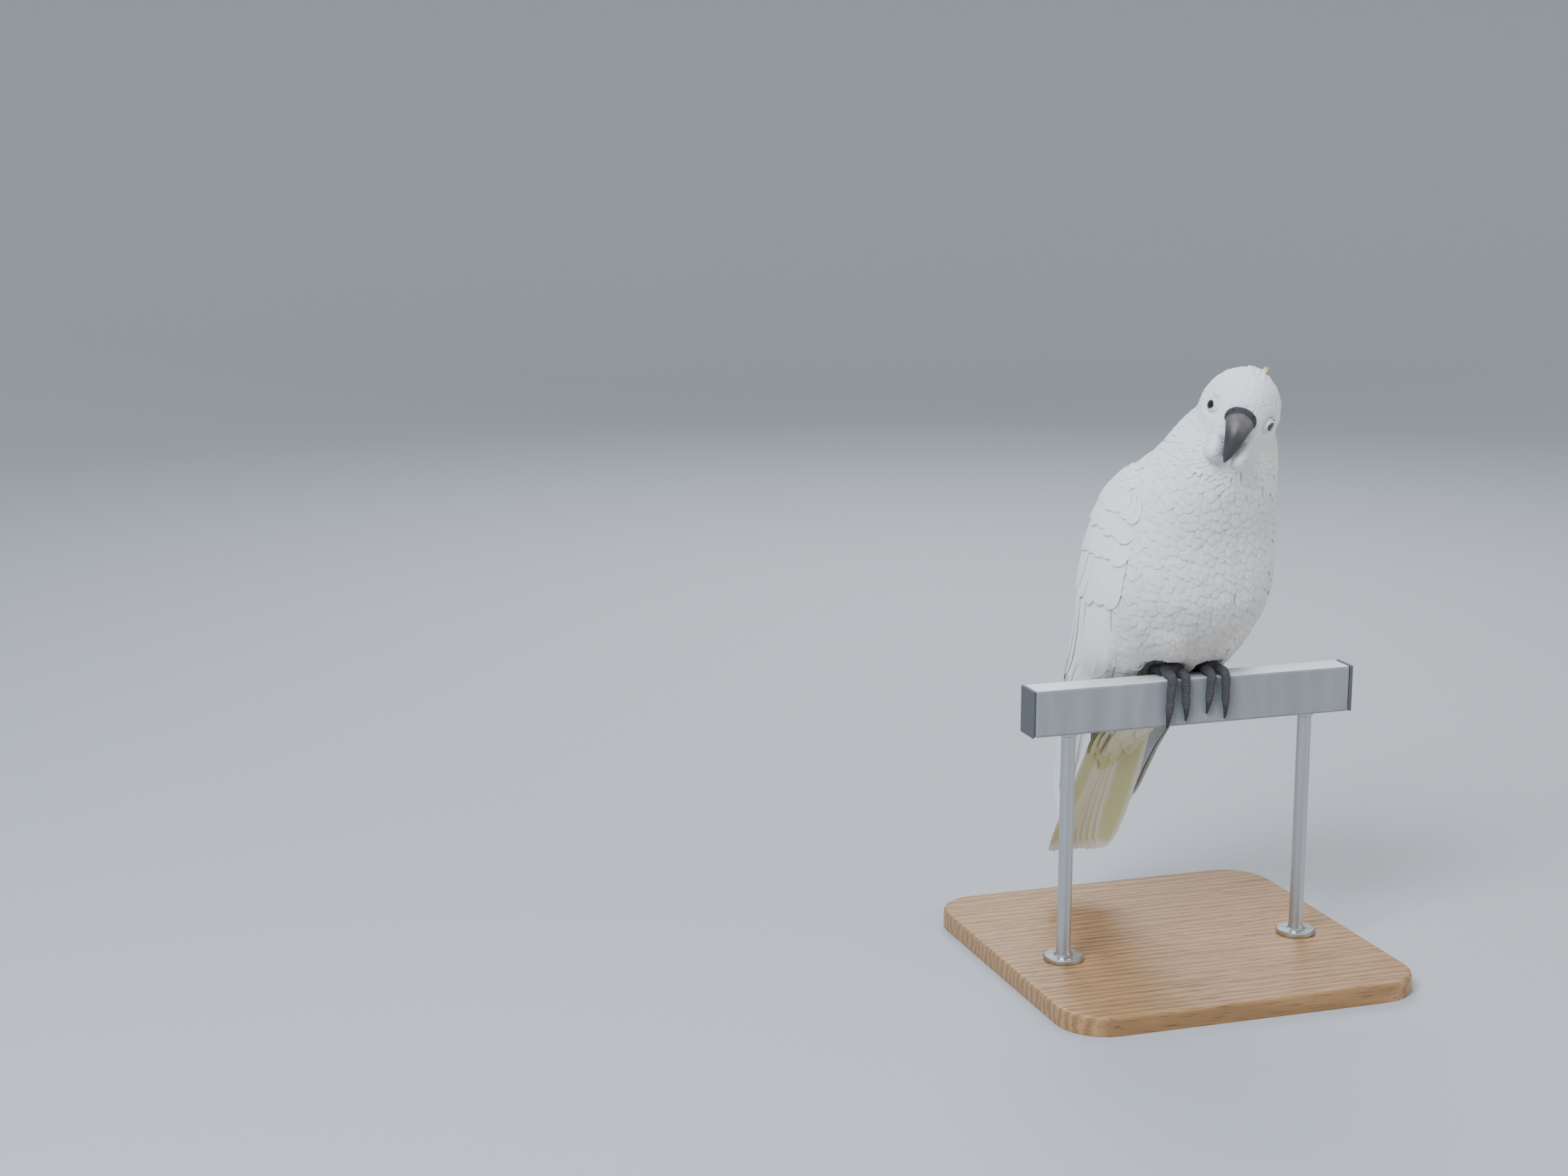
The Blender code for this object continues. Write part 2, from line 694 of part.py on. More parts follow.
def make_foot(side, label, materials):
    back = STEP_BACK[label]
    ankle = Vector((ANKLE.x - back, ANKLE.y * side, ANKLE.z))
    sole = Vector((SOLE.x - back, SOLE.y * side, SOLE.z))
    leg = [FEET_FRAME @ ankle.lerp(sole, t) for t in (0.0, 0.5, 1.0)]
    tarsus = make_tube(
        f"tarsus_{label}", leg, [TARSUS_RADIUS, TARSUS_RADIUS * 0.94, TARSUS_RADIUS], materials["skin"]
    )
    bm = bmesh.new()
    bmesh.ops.create_uvsphere(bm, u_segments=12, v_segments=8, radius=1.0)
    bmesh.ops.scale(bm, verts=bm.verts, vec=PAD_HALF_SIZES)
    bmesh.ops.translate(bm, verts=bm.verts, vec=sole)
    pad = add_object("pad", bm, materials["skin"], FEET_FRAME)
    combine(tarsus, pad, "UNION")
    apply_modifiers(tarsus)
    bpy.data.objects.remove(pad)
    taper = [
        TOE_ROOT_RADIUS + (TOE_TIP_RADIUS - TOE_ROOT_RADIUS) * i / (TOE_POINTS - 1)
        for i in range(TOE_POINTS)
    ]
    for toe in TOES:
        path = [FEET_FRAME @ p for p in toe_path(toe, taper, side, back)]
        digit = make_tube(f"{toe.name}_{label}", path, taper, materials["skin"])
        keep_clear(digit, tarsus)
        make_claw(f"claw_{toe.name[-1]}_{label}", toe, path, materials["claw"])
    return tarsus


def make_claw(name, toe, path, material):
    """A hooked claw that goes on from its toe's end and bends in towards the rail."""
    ahead = (path[-1] - path[-2]).normalized()
    inward = FEET_FRAME.to_3x3() @ Vector((-toe.facing, 0.0, 0.0))
    outward = -(inward - ahead * inward.dot(ahead)).normalized()
    start = path[-1] + ahead * GAP
    radius = toe.claw / math.radians(CLAW_BEND)
    points, radii = [], []
    for step in range(CLAW_POINTS):
        share = step / (CLAW_POINTS - 1)
        turn = math.radians(CLAW_BEND) * share
        points.append(
            start + ahead * radius * math.sin(turn) - outward * radius * (1.0 - math.cos(turn)) * 0.35
        )
        radii.append(CLAW_ROOT_RADIUS + (CLAW_TIP_RADIUS - CLAW_ROOT_RADIUS) * share)
    make_tube(name, points, radii, material)


def make_stand(materials):
    bm = bmesh.new()
    bmesh.ops.create_cube(bm, size=1.0)
    bmesh.ops.scale(bm, verts=bm.verts, vec=(BASE_SIDE, BASE_SIDE, BASE_THICKNESS))
    bmesh.ops.translate(bm, verts=bm.verts, vec=(0.0, 0.0, BASE_THICKNESS / 2))
    upright = [e for e in bm.edges if abs(e.verts[0].co.z - e.verts[1].co.z) > 0.001]
    bmesh.ops.bevel(bm, geom=upright, offset=BASE_CORNER, segments=6, affect="EDGES", profile=0.5)
    top = [e for e in bm.edges if min(v.co.z for v in e.verts) > BASE_THICKNESS - 0.0001]
    bmesh.ops.bevel(bm, geom=top, offset=BASE_EDGE, segments=3, affect="EDGES", profile=0.5)
    add_object("stand_base", bm, materials["wood"])

    top_z = RAIL_TOP - RAIL_HEIGHT - GAP
    foot = BASE_THICKNESS + GAP
    profile = (
        (0.0, top_z),
        (ROD_RADIUS, top_z),
        (ROD_RADIUS, foot + FLANGE_HEIGHT),
        (FLANGE_RADIUS - 0.001, foot + FLANGE_HEIGHT),
        (FLANGE_RADIUS, foot + FLANGE_HEIGHT - 0.001),
        (FLANGE_RADIUS, foot),
        (0.0, foot),
    )
    for side, label in ((-1, "right"), (1, "left")):
        bm = bmesh.new()
        verts = [bm.verts.new((r, 0.0, z)) for r, z in profile]
        for a, b in zip(verts, verts[1:]):
            bm.edges.new((a, b))
        bmesh.ops.spin(
            bm,
            geom=bm.verts[:] + bm.edges[:],
            cent=(0.0, 0.0, 0.0),
            axis=(0.0, 0.0, 1.0),
            angle=math.tau,
            steps=16,
            use_merge=True,
        )
        bmesh.ops.remove_doubles(bm, verts=bm.verts, dist=0.00001)
        bmesh.ops.translate(bm, verts=bm.verts, vec=(side * ROD_SPACING / 2, RAIL_Y, 0.0))
        add_object(f"stand_rod_{label}", bm, materials["steel"])


def make_box(name, low, high, edge, material, segments=1):
    bm = bmesh.new()
    bmesh.ops.create_cube(bm, size=1.0)
    bmesh.ops.scale(bm, verts=bm.verts, vec=[b - a for a, b in zip(low, high)])
    bmesh.ops.translate(bm, verts=bm.verts, vec=[(a + b) / 2 for a, b in zip(low, high)])
    bmesh.ops.bevel(
        bm, geom=bm.edges[:], offset=edge, segments=segments, affect="EDGES", profile=0.5
    )
    return add_object(name, bm, material)


def make_perch(materials):
    low_y, high_y = RAIL_Y - RAIL_DEPTH / 2, RAIL_Y + RAIL_DEPTH / 2
    low_z = RAIL_TOP - RAIL_HEIGHT
    half = RAIL_LENGTH / 2
    low, high = (-half, low_y, low_z), (half, high_y, RAIL_TOP)
    make_box("perch_rail", low, high, RAIL_EDGE, materials["rail"], segments=2)
    for side, label in ((-1, "right"), (1, "left")):
        near = side * (half + GAP)
        far = side * (half + GAP + CAP_THICKNESS)
        make_box(
            f"perch_cap_{label}",
            (min(near, far), low_y, low_z),
            (max(near, far), high_y, RAIL_TOP),
            0.0008,
            materials["cap"],
        )


def make_materials():
    return {
        "plumage": make_material("white plumage", (0.82, 0.83, 0.82), 0.75),
        "yellow": make_material("yellow plumage", (0.80, 0.66, 0.13), 0.70),
        "bill": make_material("horn of the bill", (0.045, 0.045, 0.047), 0.42),
        "eye": make_material("wet eye", (0.012, 0.010, 0.010), 0.08),
        "skin": make_material("scaled skin of the feet", (0.055, 0.055, 0.058), 0.60),
        "claw": make_material("horn of the claws", (0.025, 0.025, 0.027), 0.40),
        "rail": make_material("powder-coated rail", (0.150, 0.155, 0.165), 0.45),
        "cap": make_material("moulded end cap", (0.06, 0.06, 0.065), 0.55),
        "steel": make_material("satin steel rod", (0.58, 0.58, 0.59), 0.35, 1.0),
        "wood": make_material("oiled oak base", (0.30, 0.19, 0.10), 0.50),
    }


def make_bird(materials):
    trunk, _neck, head = make_flesh(materials)
    make_head_parts(head, materials)
    make_crest(materials)
    tail = make_tail(materials["yellow"])
    make_wing("wing_left", 1, trunk, materials["plumage"])
    make_wing("wing_right", -1, trunk, materials["plumage"])
    keep_clear(trunk, tail)
    for side, label in ((1, "left"), (-1, "right")):
        thigh = make_thigh(f"thigh_{label}", side, materials["plumage"])
        tarsus = make_foot(side, label, materials)
        keep_clear(trunk, thigh, tarsus)
        keep_clear(thigh, tarsus)
        leave_foot_room(thigh)
    leave_foot_room(trunk)


PARTS = None
CUTTERS = None


def main():
    global PARTS, CUTTERS
    clear_scene()
    PARTS = make_collection("cockatoo")
    CUTTERS = make_collection("cutters")
    CUTTERS.hide_render = True
    materials = make_materials()
    make_stand(materials)
    make_perch(materials)
    make_bird(materials)


main()
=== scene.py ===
"""Looks for a white sulphur-crested cockatoo that stands on a cut length of handrail.

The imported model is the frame, in metres: +Z up, +X along the rail, the bird facing -Y. Its flesh
nodes reach out to the tips of the feathers. The skin made from them lies inside them by the
depth of the coat, and the tip of every feather comes back out to them.
"""

import math

import bmesh
import bpy
import numpy as np
from mathutils import Matrix, Vector
from mathutils.bvhtree import BVHTree
from mathutils.kdtree import KDTree


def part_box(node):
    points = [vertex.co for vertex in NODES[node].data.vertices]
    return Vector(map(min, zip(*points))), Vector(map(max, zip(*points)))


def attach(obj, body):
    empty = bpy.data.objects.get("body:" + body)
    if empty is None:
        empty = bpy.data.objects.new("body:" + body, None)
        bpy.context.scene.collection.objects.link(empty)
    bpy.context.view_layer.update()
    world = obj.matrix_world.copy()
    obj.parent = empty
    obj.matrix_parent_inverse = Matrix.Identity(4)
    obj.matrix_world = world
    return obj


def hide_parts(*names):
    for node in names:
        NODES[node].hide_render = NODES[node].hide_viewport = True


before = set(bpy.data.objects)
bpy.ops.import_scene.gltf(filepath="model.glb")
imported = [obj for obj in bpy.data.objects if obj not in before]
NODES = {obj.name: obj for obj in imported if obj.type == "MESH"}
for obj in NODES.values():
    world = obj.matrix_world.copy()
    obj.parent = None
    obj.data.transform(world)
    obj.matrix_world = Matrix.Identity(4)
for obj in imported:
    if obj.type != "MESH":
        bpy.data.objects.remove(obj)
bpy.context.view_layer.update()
rng = np.random.default_rng(7)

FLESH = ("trunk", "neck", "head", "thigh_left", "thigh_right")
WINGS = ("wing_left", "wing_right")
SIDES = ((1, "left"), (-1, "right"))

# The rail, and the bird on it: in the bird's own frame x is forward, y its left and z up, and
# the origin is on the rail's top between its feet.
RAIL_LOW, RAIL_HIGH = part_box("perch_rail")
RAIL_MIDDLE = Vector((0.0, (RAIL_LOW.y + RAIL_HIGH.y) / 2, RAIL_HIGH.z))
RAIL_DEPTH = RAIL_HIGH.y - RAIL_LOW.y
BODY_YAW = 8.0
FEET_FRAME = Matrix.Translation(RAIL_MIDDLE) @ Matrix.Rotation(math.radians(-90.0), 4, "Z")
BIRD_FRAME = FEET_FRAME @ Matrix.Rotation(math.radians(BODY_YAW), 4, "Z")
HEAD_FRAME = (
    BIRD_FRAME
    @ Matrix.Translation((0.060, -0.003, 0.229))
    @ Matrix.Rotation(math.radians(-34.0), 4, "Z")
    @ Matrix.Rotation(math.radians(4.0), 4, "Y")
    @ Matrix.Rotation(math.radians(-20.0), 4, "X")
)

# The folded wing, from its bend down to its tip: the section of the body it lies on (forward,
# up, half width, reach to the back and to the front), the angles from the back at which it
# begins and ends, and its thickness.
WING = (
    (0.009, 0.170, 0.063, 0.046, 0.058, 60, 84, 0.0040),
    (0.000, 0.156, 0.069, 0.049, 0.065, 36, 100, 0.0070),
    (-0.017, 0.125, 0.077, 0.056, 0.073, 18, 106, 0.0085),
    (-0.032, 0.083, 0.081, 0.052, 0.078, 12, 112, 0.0080),
    (-0.051, 0.038, 0.075, 0.043, 0.062, 12, 122, 0.0080),
    (-0.075, 0.000, 0.067, 0.038, 0.046, 14, 128, 0.0065),
    (-0.100, -0.046, 0.060, 0.032, 0.032, 16, 120, 0.0050),
    (-0.122, -0.096, 0.048, 0.026, 0.018, 24, 112, 0.0030),
    (-0.141, -0.150, 0.040, 0.012, 0.010, 62, 100, 0.0014),
)
BODY_FULLNESS = 0.84
WING_SUNK = 0.0030
WING_PAST_TIP = 0.34  # metres of wing, past its tip, for each 1.0 further down
SHOULDER_ENDS = 0.17  # how far down a wing its small, soft coverts reach
LEFT_WING_OVER = 0.0005  # the left wing's inner feathers lie over the right wing's

# The body's middle line (forward, up), from the tail to the throat.
SPINE = (
    (-0.098, -0.062), (-0.078, -0.012), (-0.050, 0.036), (-0.032, 0.083), (-0.017, 0.125),
    (0.001, 0.158), (0.024, 0.187), (0.043, 0.210), (0.056, 0.224),
)
# The fluffed cheeks, which hide the sides of the lower bill: (centre, half sizes) of each tuft
# on the bird's left, in the head's frame.
CHEEKS = (
    ((0.0225, 0.0136, -0.0085), (0.0075, 0.0042, 0.0042)),
    ((0.0255, 0.0118, -0.0168), (0.0090, 0.0052, 0.0048)),
    ((0.0250, 0.0104, -0.0268), (0.0156, 0.0088, 0.0114)),
)
# Where the bird is slimmer than its plain form, in its own frame: (centre, radius, depth).
HOLLOWS = (
    ((-0.010, 0.040, 0.198), 0.021, 0.0055),
    ((-0.010, -0.040, 0.198), 0.021, 0.0055),
    ((-0.010, -0.034, 0.006), 0.022, 0.0070),
)
# How the plain nodes become one form: the size of its faces, the rounds of smoothing and how
# far it then grows, for the skin and for the outline that the coat is laid on.
SKIN_FORM = (0.0020, 24, 0.0007)
COAT_FORM = (0.0018, 14, 0.0004)
LEG_FORM = (0.0006, 10, 0.0002)
CLAW_FORM = (0.00032, 10, 0.0002)
ROUNDS_AFTER_CHEEKS = 4
# The plane between head and body, through a point and square to an axis, in the head's frame.
HEAD_CUT = Vector((-0.018, 0.0, -0.020))
HEAD_CUT_AXIS = Vector((0.60, 0.0, 0.80))

# Body feathers: length and half width for each unit of the spacing of their roots, and thickness.
HEAD_FEATHER = (3.4, 0.85, 0.00010)
BODY_FEATHER = (4.4, 0.98, 0.00014)
# No body feather is rooted this near to a wing, the top of a leg or the bill.
WING_CLEAR = 0.0045
LEG_CLEAR = 0.009
BILL_CLEAR = 0.0004

TAIL_ROOT = Vector((-0.076, 0.0, -0.012))
TAIL_TIP = Vector((-0.168, 0.0, -0.203))
TAIL_TWIST = 8.0
TAIL_ARCH = 0.007
TAIL_HALF_WIDTH = 0.0155  # at its root
TAIL_WIDENS = 0.0095
TAIL_SWINGS = 0.0070  # to the bird's right, at its tip

EYE_RADIUS = 0.0070
EYE_PLACE = Vector((0.0135, 0.0205, 0.0020))
EYE_CLEAR = 0.0067  # feathers stay this far from an eye's centre
# The eyelid's section: (out from the middle, how far down from the eyeball to the face, raised).
LID = (
    (0.0038, 0.00, -0.0004), (0.0038, 0.00, 0.0002), (0.0040, 0.00, 0.0004), (0.0044, 0.05, 0.0004),
    (0.0048, 0.25, 0.0001), (0.0053, 0.55, 0.0003), (0.0056, 0.75, 0.0000), (0.0059, 0.90, 0.0002),
    (0.0063, 1.00, -0.0002), (0.0069, 1.00, -0.0008), (0.0074, 1.00, -0.0022), (0.0056, 0.90, -0.0020),
)
LID_REACH = 0.008  # the face's height is read this far out from the eye's middle
LID_ABOVE = 0.03  # and from this far above it

UPPER_BILL_CENTRE = Vector((0.0205, 0.0, -0.0140))
LOWER_BILL_CENTRE = Vector((0.0160, 0.0, -0.0145))
UPPER_BILL_RADIUS = 0.0270
LOWER_BILL_RADIUS = 0.0195
BILL_BASE = Vector((0.0270, 0.0, -0.0100))

TOE_START = 0.0040
TOE_ROOT_RADIUS = 0.0046
TOE_END_RADIUS = 0.0034
TOE_CLEARANCE = 0.0003
SCUTE_PITCH = 0.0023
PAD_PITCH = 0.0125
SOLE_ACROSS = 0.0185
STEP_BACK = {"left": 0.004, "right": -0.001}
# Each toe: its number, the way it faces, its place across the foot, its spread and its length.
TOES = (
    (2, 1, -0.0052, -4.0, 0.042),
    (3, 1, 0.0052, 3.0, 0.046),
    (1, -1, -0.0052, -6.0, 0.024),
    (4, -1, 0.0052, 8.0, 0.036),
)


# ---- numbers and places ----


def linear(colour):
    """A hex sRGB colour as linear red, green, blue and alpha."""
    parts = [int(colour[i : i + 2], 16) / 255 for i in (1, 3, 5)]
    return (*[c / 12.92 if c <= 0.04045 else ((c + 0.055) / 1.055) ** 2.4 for c in parts], 1.0)


def smooth_between(rows, count):
    """Rows of numbers read at equal steps from a smooth curve through the given ones."""
    rows = np.array(rows, float)
    last = len(rows) - 1
    padded = np.vstack([2 * rows[0] - rows[1], rows, 2 * rows[-1] - rows[-2]])
    place = np.linspace(0.0, last, count)
    i = np.minimum(place.astype(int), last - 1)
    t = (place - i)[:, None]
    a, b, c, d = (padded[i + k] for k in range(4))
    return 0.5 * (
        2 * b + (c - a) * t + (2 * a - 5 * b + 4 * c - d) * t**2 + (3 * b - a - 3 * c + d) * t**3
    )


def unit(vectors):
    return vectors / np.maximum(np.linalg.norm(vectors, axis=-1, keepdims=True), 1e-12)


def ease(values, low, high):
    """0 below low, 1 above high, and a smooth step between them."""
    t = np.clip((values - low) / (high - low), 0.0, 1.0)
    return t * t * (3.0 - 2.0 * t)


def hill(gaps, reach):
    """1 at a gap of nothing, falling off softly to 0 a little past the reach."""
    return np.exp(-((gaps / reach) ** 2))


def gap_to(places, point):
    return np.linalg.norm(places - np.array(point), axis=1)


def carried(places, matrix):
    """An array of points moved by a 4x4 matrix."""
    m = np.array(matrix)
    return places @ m[:3, :3].T + m[:3, 3]


def turned(vectors, matrix):
    return vectors @ np.array(matrix)[:3, :3].T


def in_head(places):
    return carried(places, HEAD_FRAME.inverted())


def in_bird(places):
    return carried(places, BIRD_FRAME.inverted())


def eye_centre(side):
    return HEAD_FRAME @ Vector((EYE_PLACE.x, EYE_PLACE.y * side, EYE_PLACE.z))


def read_at(values, places):
    """Stations (items, stations, 3) read at places along them, from 0 to 1."""
    reach = places * (values.shape[1] - 1)
    i = np.minimum(reach.astype(int), values.shape[1] - 2)
    t = (reach - i)[None, :, None]
    return values[:, i] * (1.0 - t) + values[:, i + 1] * t


# ---- meshes and pieces ----


def new_object(name, mesh):
    obj = bpy.data.objects.new(name, mesh)
    bpy.context.scene.collection.objects.link(obj)
    return obj


def mesh_from(bm, name):
    mesh = bpy.data.meshes.new(name)
    bm.to_mesh(mesh)
    bm.free()
    return mesh


def finished(name, mesh, material, replaces=()):
    """A piece with its material, its body and the nodes that it stands for."""
    obj = new_object(name, mesh)
    mesh.materials.append(material)
    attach(obj, "root")
    if replaces:
        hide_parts(*replaces)
    return obj


def shade_smooth(mesh, angle):
    mesh.shade_smooth()
    mesh.set_sharp_from_angle(angle=math.radians(angle))


def piece_from(bm, name, material, replaces=(), angle=60.0):
    mesh = mesh_from(bm, name)
    shade_smooth(mesh, angle)
    return finished(name, mesh, material, replaces)


def copy_of_nodes(names):
    bm = bmesh.new()
    for name in names:
        bm.from_mesh(NODES[name].data)
    bmesh.ops.remove_doubles(bm, verts=bm.verts, dist=0.00001)
    return bm


def loft(rings):
    """A closed skin through rings of points, each a circle whose points are moved into place."""
    bm = bmesh.new()
    loops = []
    for ring in rings:
        made = bmesh.ops.create_circle(bm, cap_ends=False, segments=len(ring), radius=1.0)["verts"]
        for vert, place in zip(made, ring):
            vert.co = place
        loops.append(list({edge for vert in made for edge in vert.link_edges}))
    for one, other in zip(loops, loops[1:]):
        bmesh.ops.bridge_loops(bm, edges=one + other)
    for loop in (loops[0], loops[-1]):
        bmesh.ops.contextual_create(bm, geom=loop)
    bmesh.ops.recalc_face_normals(bm, faces=bm.faces)
    return bm


def lathed(profile, steps, closed=False):
    """A line of (radius, height) points spun round z."""
    bm = bmesh.new()
    verts = [bm.verts.new((radius, 0.0, height)) for radius, height in profile]
    edges = [bm.edges.new(pair) for pair in zip(verts, verts[1:] + verts[:1] * closed)]
    bmesh.ops.spin(
        bm, geom=verts + edges, cent=(0, 0, 0), axis=(0, 0, 1), angle=math.tau, steps=steps,
        use_merge=True,
    )
    bmesh.ops.remove_doubles(bm, verts=bm.verts, dist=0.00001)
    return bm


def remeshed(bm, voxel, rounds, swell=0.0):
    """One closed mesh of even small faces round a bmesh, smoothed and then grown by swell."""
    obj = new_object("form", mesh_from(bm, "form"))
    remesh = obj.modifiers.new("even faces", "REMESH")
    remesh.mode = "VOXEL"
    remesh.voxel_size = voxel
    smooth = obj.modifiers.new("soften", "SMOOTH")
    smooth.factor = 0.5
    smooth.iterations = rounds
    grow = obj.modifiers.new("grow", "DISPLACE")
    grow.mid_level = 0.0
    grow.strength = swell
    graph = bpy.context.evaluated_depsgraph_get()
    result = bpy.data.meshes.new_from_object(obj.evaluated_get(graph))
    bpy.data.objects.remove(obj)
    result.shade_smooth()
    return result


def plumed_form(names, voxel, rounds, swell):
    """The bird's nodes as one smooth form, slimmed at its hollows, with its cheeks fluffed."""
    bm = bmesh.new()
    bm.from_mesh(remeshed(copy_of_nodes(names), voxel, rounds, swell))
    for centre, radius, depth in HOLLOWS:
        middle = BIRD_FRAME @ Vector(centre)
        for vert in bm.verts:
            gap = (vert.co - middle).length / radius
            vert.co -= vert.normal * depth * math.exp(-gap * gap)
    for (x, y, z), half_sizes in CHEEKS:
        for side, _ in SIDES:
            place = HEAD_FRAME @ Matrix.Translation((x, y * side, z)) @ Matrix.Diagonal((*half_sizes, 1.0))
            bmesh.ops.create_icosphere(bm, subdivisions=3, radius=1.0, matrix=place)
    return remeshed(bm, voxel, ROUNDS_AFTER_CHEEKS)


def mesh_arrays(mesh):
    """A mesh's points and their normals."""
    places = np.empty(len(mesh.vertices) * 3)
    mesh.vertices.foreach_get("co", places)
    normals = np.empty(len(mesh.vertices) * 3)
    mesh.vertex_normals.foreach_get("vector", normals)
    return places.reshape(-1, 3), normals.reshape(-1, 3)


def write_marking(mesh, values):
    """Stores yellow, a dusty tint with painted shade, and a random tone on a mesh's points."""
    layer = mesh.attributes.new("marking", "FLOAT_VECTOR", "POINT")
    layer.data.foreach_set("vector", np.ascontiguousarray(values, np.float32).ravel())


# ---- materials ----


class Finish:
    """A material of one Principled shader, and the nodes that feed it."""

    def __init__(self, name):
        self.material = bpy.data.materials.new(name)
        self.material.use_nodes = True
        self.tree = self.material.node_tree

    def fill(self, target, inputs):
        for socket, value in inputs.items():
            if isinstance(value, bpy.types.NodeSocket):
                self.tree.links.new(value, target.inputs[socket])
            else:
                value = linear(value) if isinstance(value, str) else value
                target.inputs[socket].default_value = value

    def node(self, kind, inputs=None, read=0, **settings):
        """Adds a node, with its settings, and with values, colours or links for its inputs. It
        gives the output that is read, or all of them for None."""
        made = self.tree.nodes.new(f"ShaderNode{kind}")
        for name, value in settings.items():
            setattr(made, name, value)
        self.fill(made, inputs or {})
        return made.outputs if read is None else made.outputs[read]

    def marks(self):
        """The three shares stored on the piece: yellow, a dusty tint with painted shade, and a random tone.
        """
        stored = self.node("Attribute", read="Vector", attribute_name="marking")
        return self.node("SeparateXYZ", {0: stored}, None)

    def surface(self, colour, layers, others, relief=None, depth=0.0, strength=1.0):
        """Fills the shader: its colour under layers of (share, colour), its other sockets, and
        its relief with its depth in metres."""
        for share, over in layers:
            colour = self.node("Mix", {0: share, 6: colour, 7: over}, 2, data_type="RGBA")
        sockets = {"Base Color": colour, **others}
        if relief:
            relief = {"Height": relief, "Distance": depth, "Strength": strength}
            sockets["Normal"] = self.node("Bump", relief)
        self.fill(self.tree.nodes["Principled BSDF"], sockets)
        return self.material


def every(millimetres):
    """The scale of a pattern that repeats at this distance, since its places are in metres."""
    return 1000.0 / millimetres


def grained_material(name, low, high, size, detail, others, depth=None):
    """A material with one fine noise of this size in millimetres, which drives its colour and
    its relief."""
    finish = Finish(name)
    where = finish.node("TexCoord", read="Object")
    grain = finish.node("TexNoise", {"Vector": where, "Scale": every(size), "Detail": detail})
    return finish.surface(low, [(grain, high)], others, depth and grain, depth)


def feather_material(name, white, yellow, barb_pitch, roughness):
    """White feather keratin: soft and only faintly glossy. The barbs run out and forward from
    the shaft; they are drawn coarser than real ones, which are too fine to show. Yellow, and
    the dusty tint and painted shade of the belly and vent, come with the piece's own marking."""
    finish = Finish(name)
    marks = finish.marks()
    place = finish.node("SeparateXYZ", {0: finish.node("UVMap", uv_map="Vane")}, None)
    across = finish.node("Math", {0: place[0]}, operation="ABSOLUTE")
    lean = finish.node("Math", {0: across, 1: 1.1}, operation="MULTIPLY")
    along = finish.node("Math", {0: place[1], 1: lean}, operation="SUBTRACT")
    turns = finish.node("Math", {0: along, 1: math.tau / barb_pitch}, operation="MULTIPLY")
    barbs = finish.node("Math", {0: turns}, operation="SINE")
    shade = finish.node("Math", {0: barbs, 1: 0.03, 2: marks[2]}, operation="MULTIPLY_ADD")
    shade = finish.node("Math", {0: shade, 1: 0.06}, operation="ADD")
    shaft = finish.node("MapRange", {0: across, 1: 0.1, 2: 0.45, 3: 2.0, 4: 0.0})
    height = finish.node("Math", {0: barbs, 1: 0.5, 2: shaft}, operation="MULTIPLY_ADD")
    # The marking's second share is a dusty tint on the belly and chest that is partly painted shade, and
    # painted shade at the vent; the third is a random tone.
    return finish.surface(
        white,
        [(marks[0], yellow), (marks[1], "#B9A797"), (shade, "#A4ABB0")],
        {"Roughness": roughness, "Specular IOR Level": 0.3, "Sheen Weight": 0.15},
        height, 0.0001, 0.7,
    )


def skin_material():
    """Downy skin under the coat: matt and pale with tufts of down 1.1 mm apart, carrying the
    coat's own markings."""
    finish = Finish("downy skin")
    marks = finish.marks()
    where = finish.node("TexCoord", read="Object")
    down = finish.node("TexNoise", {"Vector": where, "Scale": every(1.11)})
    shade = finish.node("Math", {0: down, 1: 0.25}, operation="MULTIPLY")
    # The marking's second share is the dusty tint and painted shade of the belly and vent, as on the coat.
    layers = [(marks[0], "#DDD689"), (marks[1], "#B8A99B"), (shade, "#A9AEB0")]
    return finish.surface("#E9EBE8", layers, {"Roughness": 0.9}, down, 0.0008)


def bill_material():
    """Grey-black horn with a powdery bloom, which is down that rubs off on it: matt, browner
    and paler where the bloom lies thick, with growth lines about 1.5 mm apart."""
    finish = Finish("powdered bill horn")
    marks = finish.marks()
    where = finish.node("TexCoord", read="Object")
    cloud = finish.node("TexNoise", {"Vector": where, "Scale": every(5.26), "Detail": 6.0})
    powder = finish.node("TexNoise", {"Vector": where, "Scale": every(0.667), "Detail": 3.0})
    growth = math.tau * UPPER_BILL_RADIUS * every(1.542)
    turns = finish.node("Math", {0: marks[1], 1: growth}, operation="MULTIPLY")
    lines = finish.node("Math", {0: turns}, operation="SINE")
    thick = finish.node("MapRange", {0: cloud, 1: 0.35, 2: 0.65, 3: 0.5, 4: 1.0})
    bloom = finish.node("Math", {0: thick, 1: marks[0]}, operation="MULTIPLY")
    fine = finish.node("Math", {0: powder, 1: 0.22}, operation="MULTIPLY")
    height = finish.node("Math", {0: lines, 1: 0.05, 2: powder}, operation="MULTIPLY_ADD")
    matt = finish.node("MapRange", {0: bloom, 3: 0.38, 4: 0.66})
    layers = [(bloom, "#77706A"), (fine, "#8A8783")]
    return finish.surface("#242426", layers, {"Roughness": matt}, height, 0.0001)


def cere_material():
    """Bare cere skin: nearly black and waxy, with pebbles of half a millimetre, and painted shade:
    black inside the nostrils, where the openings lie in shadow."""
    finish = Finish("bare cere skin")
    where = finish.node("TexCoord", read="Object")
    pebbles = finish.node("TexVoronoi", {"Vector": where, "Scale": every(0.526)})
    # The marking's first share is painted shade, black inside each nostril.
    layers = [(pebbles, "#3A3B3E"), (finish.marks()[0], "#050505")]
    return finish.surface("#1E1F21", layers, {"Roughness": 0.55}, pebbles, 0.0002)


